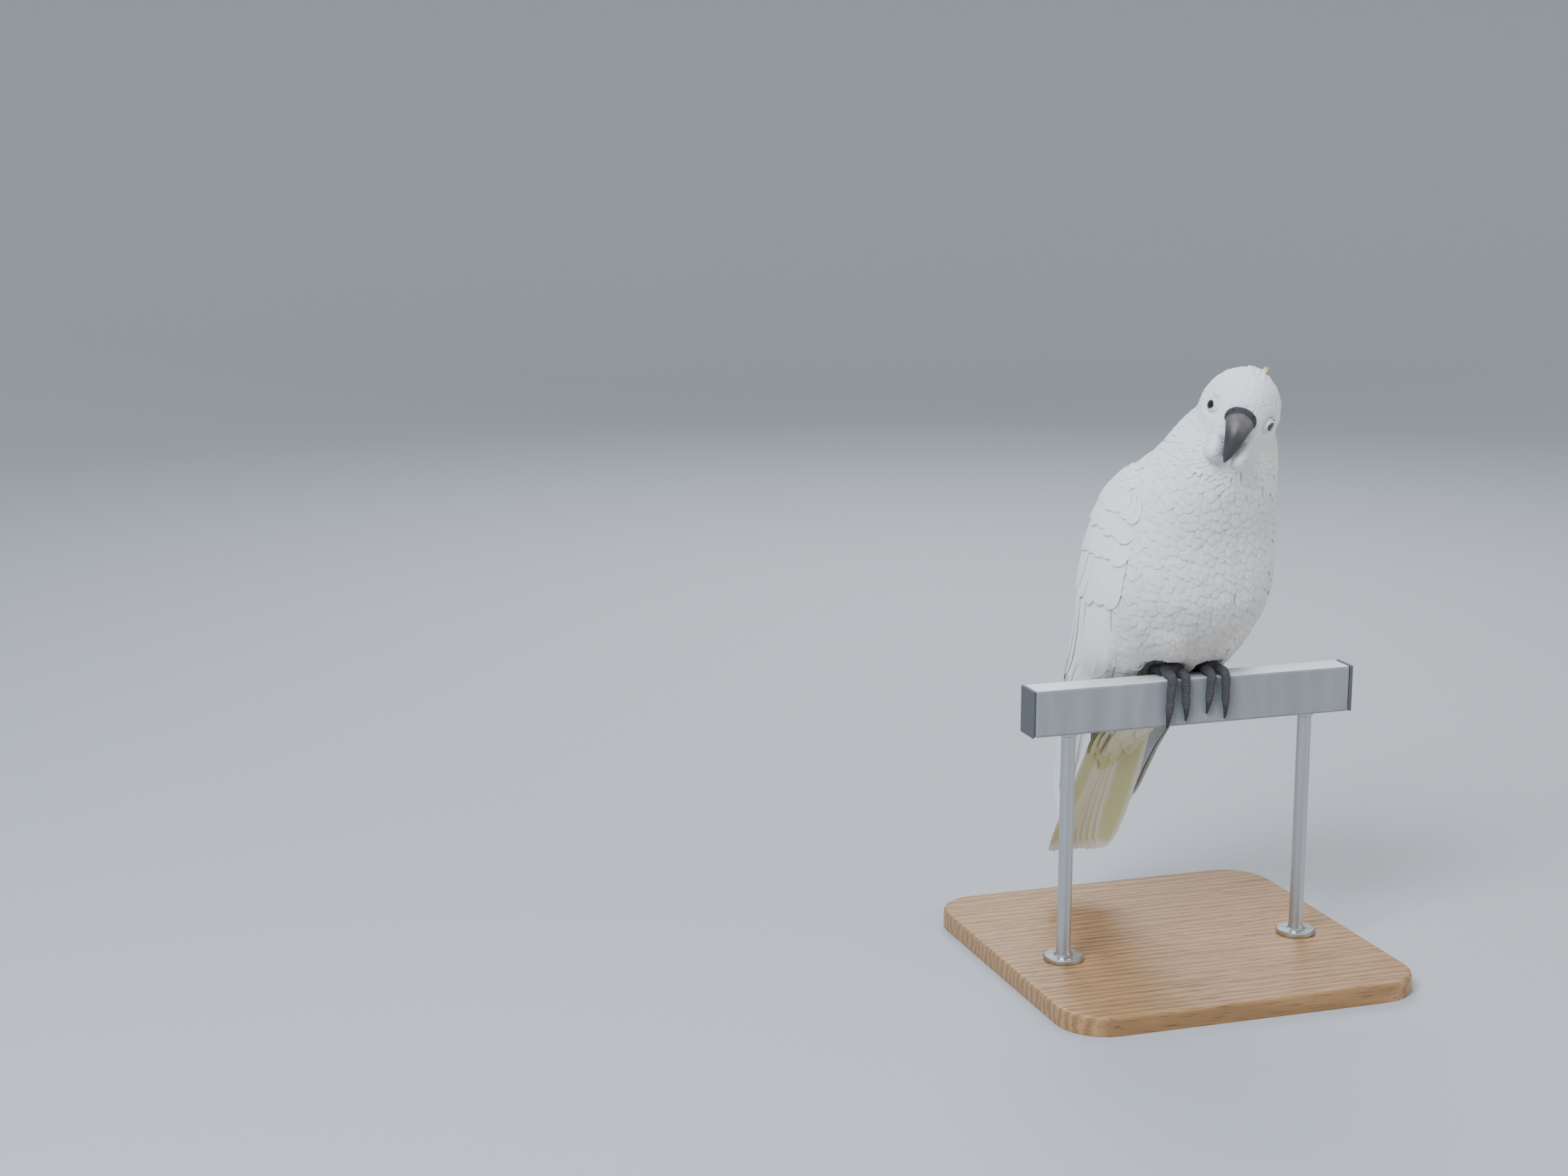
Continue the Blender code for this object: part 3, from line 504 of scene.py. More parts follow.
def foot_material():
    """Dark grey leathery skin in small rounded scales of about 1 mm, dusty in the creases."""
    finish = Finish("scaled foot skin")
    where = finish.node("TexCoord", read="Object")
    scales = {"Vector": where, "Scale": every(1.053)}
    scales = finish.node("TexVoronoi", scales, feature="DISTANCE_TO_EDGE")
    grime = finish.node("TexNoise", {"Vector": where, "Scale": every(3.85)})
    crease = finish.node("MapRange", {0: scales, 1: 0.0, 2: 0.16, 3: 1.0, 4: 0.0})
    dusty = finish.node("Math", {0: crease, 1: 0.5}, operation="MULTIPLY")
    height = finish.node("Math", {0: 1.0, 1: crease}, operation="SUBTRACT")
    layers = [(grime, "#4A4B4E"), (dusty, "#6E6C69")]
    return finish.surface("#2C2D30", layers, {"Roughness": 0.62}, height, 0.0003)


def rail_material():
    """Powder-coated aluminium out of doors: an orange peel of 0.9 mm, faint rain streaks on its
    faces, and a painted highlight along its top, paler where the faces turn up."""
    finish = Finish("powder-coated aluminium")
    where = finish.node("TexCoord", read="Object")
    streaks = finish.node("Mapping", {"Vector": where, "Scale": (every(16.7), every(16.7), every(111.0))})
    dirt = finish.node("TexNoise", {"Vector": streaks, "Scale": 1.0, "Detail": 6.0})
    peel = finish.node("TexNoise", {"Vector": where, "Scale": every(0.909)})
    facing = finish.node("SeparateXYZ", {0: finish.node("NewGeometry", read="Normal")}, 2)
    layers = [
        (finish.node("MapRange", {0: dirt, 1: 0.35, 2: 0.7}), "#92969A"),
        # Painted highlight: the faces that turn up are mixed to pale grey, as if bright light from above
        # were reflected off them.
        (finish.node("MapRange", {0: facing, 1: 0.5, 2: 0.95}), "#DFE2E4"),
    ]
    gloss = finish.node("MapRange", {0: dirt, 1: 0.3, 2: 0.7, 3: 0.36, 4: 0.50})
    return finish.surface("#84888B", layers, {"Roughness": gloss}, peel, 0.00012)


def oak_material():
    """Oiled oak, planed and sanded: growth rings along X about 9 mm apart, as in a board cut
    near the bark, dark open pores 22 mm long and 1 mm wide, drawn wider than real ones so that
    they show, and a low sheen."""
    finish = Finish("oiled oak")
    where = finish.node("TexCoord", read="Object")
    laid = finish.node("Mapping", {"Vector": where, "Scale": (1.6, 16.0, 16.0)})
    bend = finish.node("TexNoise", {"Vector": laid, "Scale": 1.2, "Detail": 3.0})
    rings = {"Vector": laid, "Scale": 2.2, "Distortion": 7.0, "Detail": 3.0, "Detail Scale": 1.4}
    rings = finish.node("TexWave", rings, 1, bands_direction="Y")
    fine = finish.node("Mapping", {"Vector": where, "Scale": (every(22.2), every(1.11), every(1.11))})
    pores = finish.node("TexNoise", {"Vector": fine, "Scale": 1.0, "Detail": 2.0})
    pore = finish.node("MapRange", {0: pores, 1: 0.58, 2: 0.72})
    height = finish.node("Math", {0: 1.0, 1: pore}, operation="SUBTRACT")
    layers = [
        (rings, "#B78F61"),
        (finish.node("Math", {0: bend, 1: 0.5}, operation="MULTIPLY"), "#A27A4E"),
        (finish.node("Math", {0: pore, 1: 0.7}, operation="MULTIPLY"), "#4E3420"),
    ]
    return finish.surface("#8F6A43", layers, {"Roughness": 0.42}, height, 0.0002)


def steel_material():
    """Satin stainless steel, brushed round the rod in lines a quarter of a millimetre apart."""
    finish = Finish("satin stainless steel")
    where = finish.node("TexCoord", read="Object")
    lines = finish.node("Mapping", {"Vector": where, "Scale": (every(16.7), every(16.7), every(0.25))})
    brush = finish.node("TexNoise", {"Vector": lines, "Scale": 1.0, "Detail": 2.0})
    gloss = finish.node("MapRange", {0: brush, 1: 0.2, 2: 0.8, 3: 0.26, 4: 0.4})
    others = {"Roughness": gloss, "Metallic": 1.0}
    return finish.surface("#B4B5B6", [(brush, "#C9CACA")], others, brush, 0.00003)


SOFT_FEATHER = feather_material("white body feathers", "#F4F6F5", "#E2DA86", 0.9, 0.8)
STIFF_FEATHER = feather_material("white flight feathers", "#F5F7F6", "#C6CB78", 1.0, 0.6)
CREST_FEATHER = feather_material("yellow crest feathers", "#F4F6F0", "#E6DC5C", 0.9, 0.65)
DOWNY_SKIN = skin_material()
# A wet eye: a nearly black pupil in a very dark brown iris, under a clear glossy cornea.
WET_EYE = grained_material(
    "wet dark eye", "#0B0908", "#231913", 0.556, 2.0,
    {"Roughness": 0.05, "Coat Weight": 1.0, "Coat Roughness": 0.02},
)
# Bare skin round the eye: chalk white with a blue cast, finely creased in rings.
EYE_RING_SKIN = grained_material(
    "bare eye-ring skin", "#C9CED2", "#E8EBEC", 0.714, 4.0,
    {"Roughness": 0.6, "Subsurface Weight": 0.2, "Subsurface Scale": 0.001}, 0.0004,
)
# Black horn, polished by use, with fine scratches.
CLAW_HORN = grained_material(
    "claw horn", "#1C1C1E", "#3A3A3C", 1.43, 5.0, {"Roughness": 0.32}, 0.0001
)
# Moulded black plastic end caps, faintly grained and greyed by the sun.
CAP_PLASTIC = grained_material(
    "moulded plastic cap", "#4A4C4E", "#5C5E60", 0.667, 2.0, {"Roughness": 0.55}, 0.0001
)
# Pale matt studio paper, with no pattern that shows from here.
FLOOR_PAPER = Finish("pale studio paper").surface("#B4B7BA", [], {"Roughness": 0.9})


# ---- the outline, the skin and the lie of the coat ----


class Outline:
    """The bird's smooth outline over its flesh, where the feathers end."""

    def __init__(self, mesh):
        self.places, self.normals = mesh_arrays(mesh)
        self.faces = np.array([p.vertices[:] for p in mesh.polygons])
        corners = self.places[self.faces]
        self.centres = corners.mean(1)
        self.face_normals = unit(self.normals[self.faces].mean(1))
        crossed = np.cross(corners[:, 2] - corners[:, 0], corners[:, 3] - corners[:, 1])
        self.areas = np.linalg.norm(crossed, axis=1) / 2
        self.tree = BVHTree.FromPolygons(self.places.tolist(), self.faces.tolist())

    def near(self, places):
        """The nearest places on the outline, and the normals there."""
        found = [self.tree.find_nearest(p) for p in places]
        spots = np.array([f[0] for f in found])
        return spots, self.face_normals[[f[2] for f in found]]


def head_share(places):
    """1 on the head, 0 on the body, and a blend over the nape and throat."""
    return ease((in_head(places) - HEAD_CUT) @ np.array(HEAD_CUT_AXIS), -0.016, 0.012)


def along_spine(places):
    """How far each place lies along the body, from 0 at the tail to 1 at the throat, the way
    down the body there, and the way out from its middle line, in the bird's frame."""
    line = smooth_between(SPINE, 60)
    bird = in_bird(places)
    gaps = np.linalg.norm(bird[:, None, [0, 2]] - line[None], axis=2)
    nearest = gaps.argmin(1)
    ways = unit(np.gradient(line, axis=0))
    down = np.zeros((len(places), 3))
    down[:, [0, 2]] = -ways[nearest]
    return nearest / 59, down, bird - np.insert(line[nearest], 1, 0.0, axis=1)


def lie_of_coat(places, normals):
    """The way the feathers point: away from the bill over the head, then down the body."""
    from_bill = turned(unit(in_head(places) - np.array(BILL_BASE)), HEAD_FRAME)
    _, down, out = along_spine(places)
    down[:, 1] += 0.12 * np.tanh(out[:, 1] / 0.03) * (out[:, 0] > 0)
    down = turned(down, BIRD_FRAME)
    share = head_share(places)[:, None]
    way = unit(from_bill) * share + unit(down) * (1.0 - share)
    way -= normals * (way * normals).sum(1, keepdims=True)
    return unit(way)


def head_or_body(places, on_face, growth, near, far, on_body):
    """A size that grows over the head, between near to the bill and far from it, and blends
    into the size on the body."""
    on_head = on_face + growth * ease(gap_to(in_head(places), BILL_BASE), near, far)
    share = head_share(places)
    return on_head * share + on_body * (1.0 - share)


def coat_depth(places):
    """How far the skin lies inside the outline: least on the face, most on the breast."""
    return head_or_body(places, 0.0009, 0.0013, 0.015, 0.065, 0.0024)


def spacing(places):
    """The distance between roots, which is least on the face and less near the feet."""
    feet = carried(places, FEET_FRAME.inverted())
    on_body = 0.0048 - 0.0010 * ease(-feet[:, 2], -0.045, -0.015)
    return head_or_body(places, 0.0011, 0.0022, 0.010, 0.060, on_body)


def markings(places):
    """Yellow, a dusty tint and a tone at each place: a faint yellow cheek, a tint on the belly and
    chest that is partly a real dusting and partly painted shade, and painted shade at the vent
    under the belly, between the legs. The tone is left at nothing here.
    """
    head, bird = in_head(places), in_bird(places)
    level, _, out = along_spine(places)
    cheek = hill(head[:, 0] + 0.004, 0.012) * hill(head[:, 2] + 0.014, 0.012)
    yellow = 0.22 * cheek * head_share(places)
    yellow += 0.42 * ease(-bird[:, 2], -0.02, 0.045) * ease(0.026 - np.abs(bird[:, 1]), 0.0, 0.015)
    # The belly and chest tint is partly a real dusting and partly painted shade; the vent patch, under the
    # belly between the legs, is painted shade.
    belly = hill(level - 0.30, 0.16) * ease(out[:, 0], 0.0, 0.06)
    chest = hill(level - 0.70, 0.09) * ease(out[:, 0], 0.0, 0.05)
    vent = hill(gap_to(bird, (-0.014, 0.0, 0.004)), 0.036)
    dust_and_shade = np.clip(0.36 * belly + 0.26 * chest + 0.35 * vent, 0.0, 0.6)
    return np.stack([yellow, dust_and_shade, np.zeros(len(places))], axis=1)


def make_skin(outline_mesh):
    """One skin under the whole coat: the outline drawn in by the depth of the coat."""
    mesh = outline_mesh.copy()
    places, normals = mesh_arrays(mesh)
    drawn_in = places - normals * coat_depth(places)[:, None]
    mesh.vertices.foreach_set("co", drawn_in.ravel())
    mesh.update()
    write_marking(mesh, markings(places))
    finished("skin", mesh, DOWNY_SKIN, FLESH)


# ---- feathers ----

# A feather's section is (across, out), and its profile (along, half width, thickness), each as
# a share of the whole.
SOFT_SECTION = ((-1.0, 0.0), (-0.45, 0.8), (0.45, 0.8), (1.0, 0.0), (0.0, -0.5))
SOFT_PROFILE = (
    (0.0, 0.30, 1.0), (0.22, 0.66, 1.0), (0.46, 0.94, 1.0), (0.66, 1.0, 1.0), (0.82, 0.88, 0.9),
    (0.92, 0.64, 0.8), (0.98, 0.34, 0.5), (1.0, 0.12, 0.3),
)
SMALL_SECTION = ((-1.0, 0.0), (0.0, 0.8), (1.0, 0.0), (0.0, -0.5))
SMALL_PROFILE = ((0.0, 0.40, 1.0), (0.38, 0.92, 1.0), (0.70, 1.0, 0.9), (0.90, 0.62, 0.7), (1.0, 0.08, 0.4))
STIFF_SECTION = (
    (-1.0, 0.0), (-0.55, 0.35), (-0.07, 0.5), (0.0, 1.3), (0.07, 0.5), (0.55, 0.35), (1.0, 0.0),
    (0.55, -0.3), (0.0, -0.9), (-0.55, -0.3),
)
STIFF_PROFILE = (
    (0.0, 0.25, 1.0), (0.08, 0.55, 1.0), (0.2, 0.80, 1.0), (0.35, 0.92, 1.0), (0.5, 1.0, 1.0),
    (0.65, 1.0, 0.9), (0.78, 0.96, 0.8), (0.88, 0.84, 0.7), (0.94, 0.66, 0.6), (0.98, 0.40, 0.4),
    (1.0, 0.10, 0.3),
)
CREST_PROFILE = (
    (0.0, 0.30, 1.0), (0.10, 0.70, 1.0), (0.30, 1.0, 1.0), (0.55, 0.88, 0.9), (0.75, 0.62, 0.8),
    (0.88, 0.36, 0.7), (0.95, 0.20, 0.5), (1.0, 0.06, 0.4),
)
# The crest's line over the crown (forward, up), in the head's frame, and the steps it is read at.
CREST_LINE = (
    (0.022, 0.0318), (0.010, 0.0384), (-0.005, 0.0393), (-0.018, 0.0358), (-0.031, 0.0300),
    (-0.044, 0.0245), (-0.056, 0.0218), (-0.066, 0.0250), (-0.071, 0.0335),
)
CREST_STEPS = 21
PATCH = 0.003  # a tuft's size on the bake's map


class Vane:
    """A feather's pattern: points (across, along, out) and triangles, made once and repeated.
    A fringe of loose barbs is (how many, length, width, where it starts along the vane)."""

    def __init__(self, section, profile, fringe=None):
        bm = bmesh.new()
        along, half, thick = profile[0]
        face = bm.faces.new([bm.verts.new((x * half, along, z * thick)) for x, z in section])
        for step, ((a0, w0, t0), (a1, w1, t1)) in enumerate(zip(profile, profile[1:])):
            made = bmesh.ops.extrude_face_region(bm, geom=[face])["geom"]
            if step:
                bmesh.ops.delete(bm, geom=[face], context="FACES_ONLY")
            verts = [g for g in made if isinstance(g, bmesh.types.BMVert)]
            face = next(g for g in made if isinstance(g, bmesh.types.BMFace))
            bmesh.ops.scale(bm, verts=verts, vec=(w1 / w0, 1.0, t1 / t0))
            bmesh.ops.translate(bm, verts=verts, vec=(0.0, a1 - a0, 0.0))
        bmesh.ops.recalc_face_normals(bm, faces=bm.faces)
        if fringe:
            add_fringe(bm, profile, *fringe)
        bmesh.ops.triangulate(bm, faces=bm.faces)
        bm.normal_update()
        bm.verts.index_update()
        self.points = np.array([v.co for v in bm.verts])
        self.triangles = np.array([[v.index for v in f.verts] for f in bm.faces])
        self.under = np.array([f.normal.z < 0.0 for f in bm.faces])
        bm.free()


def add_fringe(bm, profile, count, length, width, start):
    """Loose barbs along both edges of a vane, from a share of its length to the tip."""
    alongs, halves, _ = np.array(profile).T
    stand = Matrix.Translation((0.0, 0.5, 0.0)) @ Matrix.Rotation(math.radians(-90.0), 4, "X")
    for i in range(count):
        share = (i + 0.5) / count
        side = 1 if i % 2 else -1
        y = start + (0.97 - start) * share
        x = np.interp(y, alongs, halves) * 0.86
        lean = -side * math.radians(52.0 - 46.0 * share) * 0.35
        shape = Matrix.Diagonal((width, length * rng.uniform(0.6, 1.2), 0.6, 1.0))
        place = Matrix.Translation((side * x, y - 0.03, 0.0)) @ Matrix.Rotation(lean, 4, "Z")
        bmesh.ops.create_cone(
            bm, cap_ends=True, segments=3, radius1=0.5, radius2=0.0, depth=1.0,
            matrix=place @ shape @ stand,
        )


def grown_feathers(vane, paths, normals, half_widths, thickness, camber, roll=0.0):
    """Copies of a vane laid along paths (feathers, stations, 3), with their normals."""
    count = len(paths)
    half_widths = np.broadcast_to(half_widths, count)[:, None]
    ways = unit(np.gradient(paths, axis=1))
    sides = unit(np.cross(ways, normals))
    outs = np.cross(sides, ways)
    across, along, out = vane.points.T
    along = np.clip(along, 0.0, 1.06)
    width = half_widths * across[None]
    rise = out[None] * thickness - camber * across[None] ** 2 * half_widths
    rise = rise + width * np.tan(np.broadcast_to(roll, count))[:, None]
    points = read_at(paths, along) + read_at(sides, along) * width[..., None]
    points = points + read_at(outs, along) * rise[..., None]
    length = np.linalg.norm(np.diff(paths, axis=1), axis=2).sum(1)
    return {
        "points": points,
        "triangles": vane.triangles,
        "under": vane.under,
        "vane": np.stack([width, along[None] * length[:, None]], axis=2) * 1000.0,
        "local": np.broadcast_to(np.stack([across, along], axis=1), (count, len(across), 2)),
        "marking": np.zeros((count, len(across), 3)),
    }


def feather_piece(name, batches, material, replaces=()):
    """One piece from batches of feathers, each with its marking and its places on the OFBake
    map."""
    points, triangles, vanes, bakes, marks, start = [], [], [], [], [], 0
    for batch in batches:
        count, size = batch["points"].shape[:2]
        points.append(batch["points"].reshape(-1, 3))
        steps = start + size * np.arange(count)[:, None, None]
        corners = (batch["triangles"][None] + steps).reshape(-1, 3)
        triangles.append(corners)
        vanes.append(batch["vane"].reshape(-1, 2)[corners.ravel() - start])
        bakes.append(batch["bake"].reshape(-1, 2))
        marks.append(batch["marking"].reshape(-1, 3))
        start += count * size
    mesh = bpy.data.meshes.new(name)
    mesh.from_pydata(np.concatenate(points), [], np.concatenate(triangles))
    for title, values in (("Vane", vanes), ("OFBake", bakes)):
        layer = mesh.uv_layers.new(name=title)
        layer.uv.foreach_set("vector", np.concatenate(values).astype(np.float32).ravel())
    write_marking(mesh, np.concatenate(marks))
    shade_smooth(mesh, 50.0)
    finished(name, mesh, material, replaces)


def lower_points(batch):
    """1 at the points that only the underside of a feather uses."""
    below = np.zeros(batch["points"].shape[1])
    below[np.unique(batch["triangles"][batch["under"]])] = 1.0
    below[np.unique(batch["triangles"][~batch["under"]])] = 0.0
    return below


def bake_by_root(batch, roots):
    """A small patch of the map for each feather, where its root lies on the unwrap."""
    local = batch["local"] * (0.5, 1.0) - (0.0, 0.5)
    spots = roots[:, None] + local * PATCH
    batch["bake"] = spots[:, batch["triangles"].ravel()]


def bake_in_strips(batches):
    """A strip of the map for each feather, its upper side above its under side."""
    total = sum(len(batch["points"]) for batch in batches)
    first = 0
    for batch in batches:
        count = len(batch["points"])
        local = batch["local"] * (0.46, 0.44) + (0.5, 0.03)
        spots = local[:, batch["triangles"].ravel()]
        spots[:, ~np.repeat(batch["under"], 3), 1] += 0.49
        spots[..., 0] = (spots[..., 0] + first + np.arange(count)[:, None]) / total
        batch["bake"] = np.clip(spots, 0.0005, 0.9995)
        first += count


# ---- the coat ----


def unwrapped(places):
    """The skin laid flat: round the body across the map, and along it up the map."""
    level, down, out = along_spine(places)
    dorsal = np.stack([-down[:, 2], np.zeros(len(down)), down[:, 0]], axis=1)
    turn = np.arctan2(out[:, 1], -(out * dorsal).sum(1))
    head = in_head(places)
    head_turn = np.arctan2(head[:, 1], -head[:, 2])
    share = head_share(places)
    u = np.where(share > 0.5, head_turn, turn) / math.tau + 0.5
    v = np.where(share > 0.5, 0.75 + 0.25 * (head[:, 0] + 0.045) / 0.085, level * 0.72)
    return np.stack([u, v], axis=1)


def fitted(roots):
    """A piece's part of the map spread to fill it."""
    low, high = roots.min(0), roots.max(0)
    return 0.01 + 0.98 * (roots - low) / np.maximum(high - low, 0.05)


def looseness(places):
    """How far the tips stand off: a little on the thighs and the vent, most at the nape."""
    feet = carried(places, FEET_FRAME.inverted())
    head = in_head(places)
    nape = hill(gap_to(head * (1, 0, 1), (-0.024, 0.0, -0.034)), 0.011) * (head[:, 1] < -0.02)
    thigh = hill(gap_to(in_bird(places), (-0.010, 0.045, 0.006)), 0.016)
    return 0.02 + 0.16 * ease(-feet[:, 2], -0.060, -0.015) + 0.75 * nape + 0.8 * thigh


def scatter(outline, wanted):
    """Roots spread evenly over the wanted faces, never nearer than the spacing there."""
    gaps = spacing(outline.centres)
    weight = np.where(wanted, outline.areas / gaps**2, 0.0)
    picks = rng.choice(len(weight), size=int(weight.sum() * 14), p=weight / weight.sum())
    share = rng.random((len(picks), 2, 1))
    corners = outline.places[outline.faces[picks]]
    low = corners[:, 0] * (1 - share[:, 0]) + corners[:, 1] * share[:, 0]
    high = corners[:, 3] * (1 - share[:, 0]) + corners[:, 2] * share[:, 0]
    spots = low * (1 - share[:, 1]) + high * share[:, 1]
    cells = np.floor(spots / gaps[wanted].max()).astype(int).tolist()
    steps = [(i, j, k) for i in (-1, 0, 1) for j in (-1, 0, 1) for k in (-1, 0, 1)]
    taken, kept = {}, []
    for index, (spot, (x, y, z), gap) in enumerate(zip(spots.tolist(), cells, gaps[picks].tolist())):
        others = (other for i, j, k in steps for other in taken.get((x + i, y + j, z + k), ()))
        if all(math.dist(other, spot) >= gap for other in others):
            taken.setdefault((x, y, z), []).append(spot)
            kept.append(index)
    return spots[kept]


def laid_paths(outline, roots, lengths, stations, sway):
    """Paths that follow the lie of the coat from each root over the outline."""
    spots, normals = outline.near(roots)
    paths, outs = [spots], [normals]
    turn = np.tan(sway)[:, None]
    for _ in range(stations - 1):
        way = lie_of_coat(spots, normals)
        way = unit(way + np.cross(normals, way) * turn)
        spots, normals = outline.near(spots + way * (lengths / (stations - 1))[:, None])
        paths.append(spots)
        outs.append(normals)
    return np.stack(paths, axis=1), unit(np.stack(outs, axis=1))


def coat_batch(outline, roots, vane, length, width, thickness):
    """Feathers rooted in the skin, each lying over the next, with their tips at the outline."""
    stations = 6
    gap = spacing(roots)
    lengths = gap * length * rng.uniform(0.88, 1.12, len(roots))
    paths, normals = laid_paths(outline, roots, lengths, stations, rng.normal(0.0, 0.08, len(roots)))
    clear = np.ones(len(roots), bool)
    for side, _ in SIDES:
        clear &= np.linalg.norm(paths - np.array(eye_centre(side)), axis=2).min(1) > EYE_CLEAR
    roots, gap, paths, normals = roots[clear], gap[clear], paths[clear], normals[clear]
    count = len(roots)
    share = np.linspace(0.0, 1.0, stations)
    depth = coat_depth(roots)[:, None]
    lift = -depth * (1.0 - share) ** 1.2 + rng.normal(0.0, 0.05, (count, 1)) * depth * share
    stand = looseness(roots) * rng.uniform(0.0, 1.0, count) * gap
    lift = lift + stand[:, None] * share**3 - 0.0002 * share**8
    paths = paths + normals * lift[..., None]
    batch = grown_feathers(
        vane, paths, normals, gap * width * rng.uniform(0.9, 1.1, count), thickness,
        camber=0.12, roll=rng.normal(0.0, 0.02, count),
    )
    marks = markings(paths[:, stations // 2])
    marks[:, 2] = rng.normal(0.0, 0.03, count)
    batch["marking"] += marks[:, None]
    batch["roots"] = unwrapped(paths[:, 0])
    return batch


def tree_of(name):
    """A CAD node's faces, ready for measuring from."""
    mesh = NODES[name].data
    return BVHTree.FromPolygons([v.co[:] for v in mesh.vertices], [p.vertices[:] for p in mesh.polygons])


def on_wings(places):
    """How far each place is from the nearest wing, and how far down that wing it lies."""
    down, across = np.meshgrid(np.linspace(0.0, 1.0, 81), np.linspace(0.0, 1.0, 33))
    down, across = down.ravel(), across.ravel()
    spots = np.concatenate([wing_places(side, down, across, 0.0 * down)[0] for side, _ in SIDES])
    tree = KDTree(len(spots))
    for index, spot in enumerate(spots):
        tree.insert(spot, index)
    tree.balance()
    found = [tree.find(place) for place in places]
    return np.array([f[2] for f in found]), down[[f[1] % len(down) for f in found]]


def bare_faces(centres, normals):
    """The faces of the outline where no body feather is rooted: under the wings, round the
    eyes and the legs, and at the bill."""
    gap, down = on_wings(centres)
    bare = (gap < WING_CLEAR) & (down > SHOULDER_ENDS)
    wings = [tree_of(name) for name in WINGS]
    for index in np.flatnonzero(~bare & (gap < 0.030)):
        normal = Vector(normals[index])
        start = Vector(centres[index]) + normal * 0.0015
        bare[index] = any(wing.ray_cast(start, normal, 0.020)[0] for wing in wings)
    for side, label in SIDES:
        bare |= gap_to(centres, eye_centre(side)) < EYE_CLEAR
        low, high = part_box(f"tarsus_{label}")
        leg = ((low.x + high.x) / 2, (low.y + high.y) / 2, high.z - 0.002)
        bare |= gap_to(centres, leg) < LEG_CLEAR
    bill = tree_of("upper_bill")
    return bare | np.array([(bill.find_nearest(c)[3] or 1.0) < BILL_CLEAR for c in centres.tolist()])


def make_coat(outline):
    bare = bare_faces(outline.centres, outline.face_normals)
    head = head_share(outline.centres) > 0.5
    soft = [Vane(SOFT_SECTION, SOFT_PROFILE, (12, 0.22, 0.13, 0.55)) for _ in range(2)]
    small = Vane(SMALL_SECTION, SMALL_PROFILE, (2, 0.22, 0.30, 0.7))
    roots = scatter(outline, head & ~bare)
    parts = {"head": [coat_batch(outline, roots, small, *HEAD_FEATHER)]}
    roots = scatter(outline, ~head & ~bare)
    level, _, out = along_spine(roots)
    front = out[:, 0] > 0.0
    groups = {
        "neck": level > 0.68,
        "breast": front & (level > 0.42),
        "belly_left": front & (out[:, 1] > 0.0),
        "belly_right": front,
        "mantle": level > 0.42,
        "rump": level > -1.0,
    }
    group = np.select(list(groups.values()), list(range(len(groups))))
    for number, name in enumerate(groups):
        own = roots[group == number]
        parts[name] = [
            coat_batch(outline, own[half::2], soft[half], *BODY_FEATHER) for half in (0, 1)
        ]
    for name, batches in parts.items():
        spots = fitted(np.concatenate([b["roots"] for b in batches]))
        for batch in batches:
            bake_by_root(batch, spots[: len(batch["roots"])])
            spots = spots[len(batch["roots"]) :]
        feather_piece(f"coat_{name}", batches, SOFT_FEATHER)


# ---- wings, tail and crest ----

WING_ROWS = smooth_between(WING, 61)


def wing_places(side, down, across, out):
    """Places over the wing and their normals: down from its bend (0) to its tip (1), across from
    its back edge (0) to its front edge (1), and out from its surface."""
    reach = np.clip(down, 0.0, 1.0) * (len(WING_ROWS) - 1)
    i = np.minimum(reach.astype(int), len(WING_ROWS) - 2)
    t = (reach - i)[..., None]
    row = WING_ROWS[i] * (1 - t) + WING_ROWS[i + 1] * t
    way = unit(np.gradient(WING_ROWS[:, :2], axis=0))
    way = unit(way[i] * (1 - t) + way[i + 1] * t)
    forward, up, half, back, front, high, low, thick = np.moveaxis(row, -1, 0)
    angle = np.radians(high + (low - high) * across)
    sine, cosine = np.sin(angle), np.cos(angle)
    front_side = cosine < 0.0
    sine = np.where(front_side, np.sign(sine) * np.abs(sine) ** BODY_FULLNESS, sine)
    cosine = np.where(front_side, -(np.abs(cosine) ** BODY_FULLNESS), cosine)
    dorsal = np.stack([way[..., 1], np.zeros_like(forward), -way[..., 0]], axis=-1)
    swell = 0.62 + 0.38 * np.sin(math.pi * np.clip(across, 0.0, 1.0)) ** 0.6
    reach = np.where(front_side, front, back)
    place = np.stack([forward, sine * half, up], axis=-1) + dorsal * (cosine * reach)[..., None]
    normal = dorsal * (cosine / reach)[..., None]
    normal[..., 1] += sine / half
    normal = unit(normal)
    place = place + normal * (thick * swell - WING_SUNK + out)[..., None]
    past = np.maximum(down - 1.0, 0.0)[..., None] * WING_PAST_TIP
    place = place + np.stack([way[..., 0], 0 * forward, way[..., 1]], axis=-1) * past
    place[..., 1] *= side
    normal[..., 1] *= side
    return carried(place, BIRD_FRAME), turned(normal, BIRD_FRAME)


def wing_row(side, vane, count, root, tip, out, half_width, thickness, camber):
    """A row of feathers. Root and tip are (down, across) and out is (at the root, at the tip):
    each is a range over the row, or a number for each feather."""
    root, tip, out = (
        np.stack([np.linspace(*x, count) if len(x) == 2 else x for x in pair], axis=1)
        for pair in (root, tip, out)
    )
    share = np.linspace(0.0, 1.0, 11)[None]
    tip = tip + rng.normal(0.0, 1.0, (count, 2)) * (0.006, 0.008)
    down = root[:, :1] + (tip[:, :1] - root[:, :1]) * share
    across = root[:, 1:] + (tip[:, 1:] - root[:, 1:]) * share**1.3
    rise = out[:, :1] + (out[:, 1:] - out[:, :1]) * share
    paths, normals = wing_places(side, down, across, rise)
    widths = half_width * rng.uniform(0.95, 1.05, count)
    return grown_feathers(
        vane, paths, normals, widths, thickness, camber, roll=rng.normal(0.0, 0.01, count)
    )


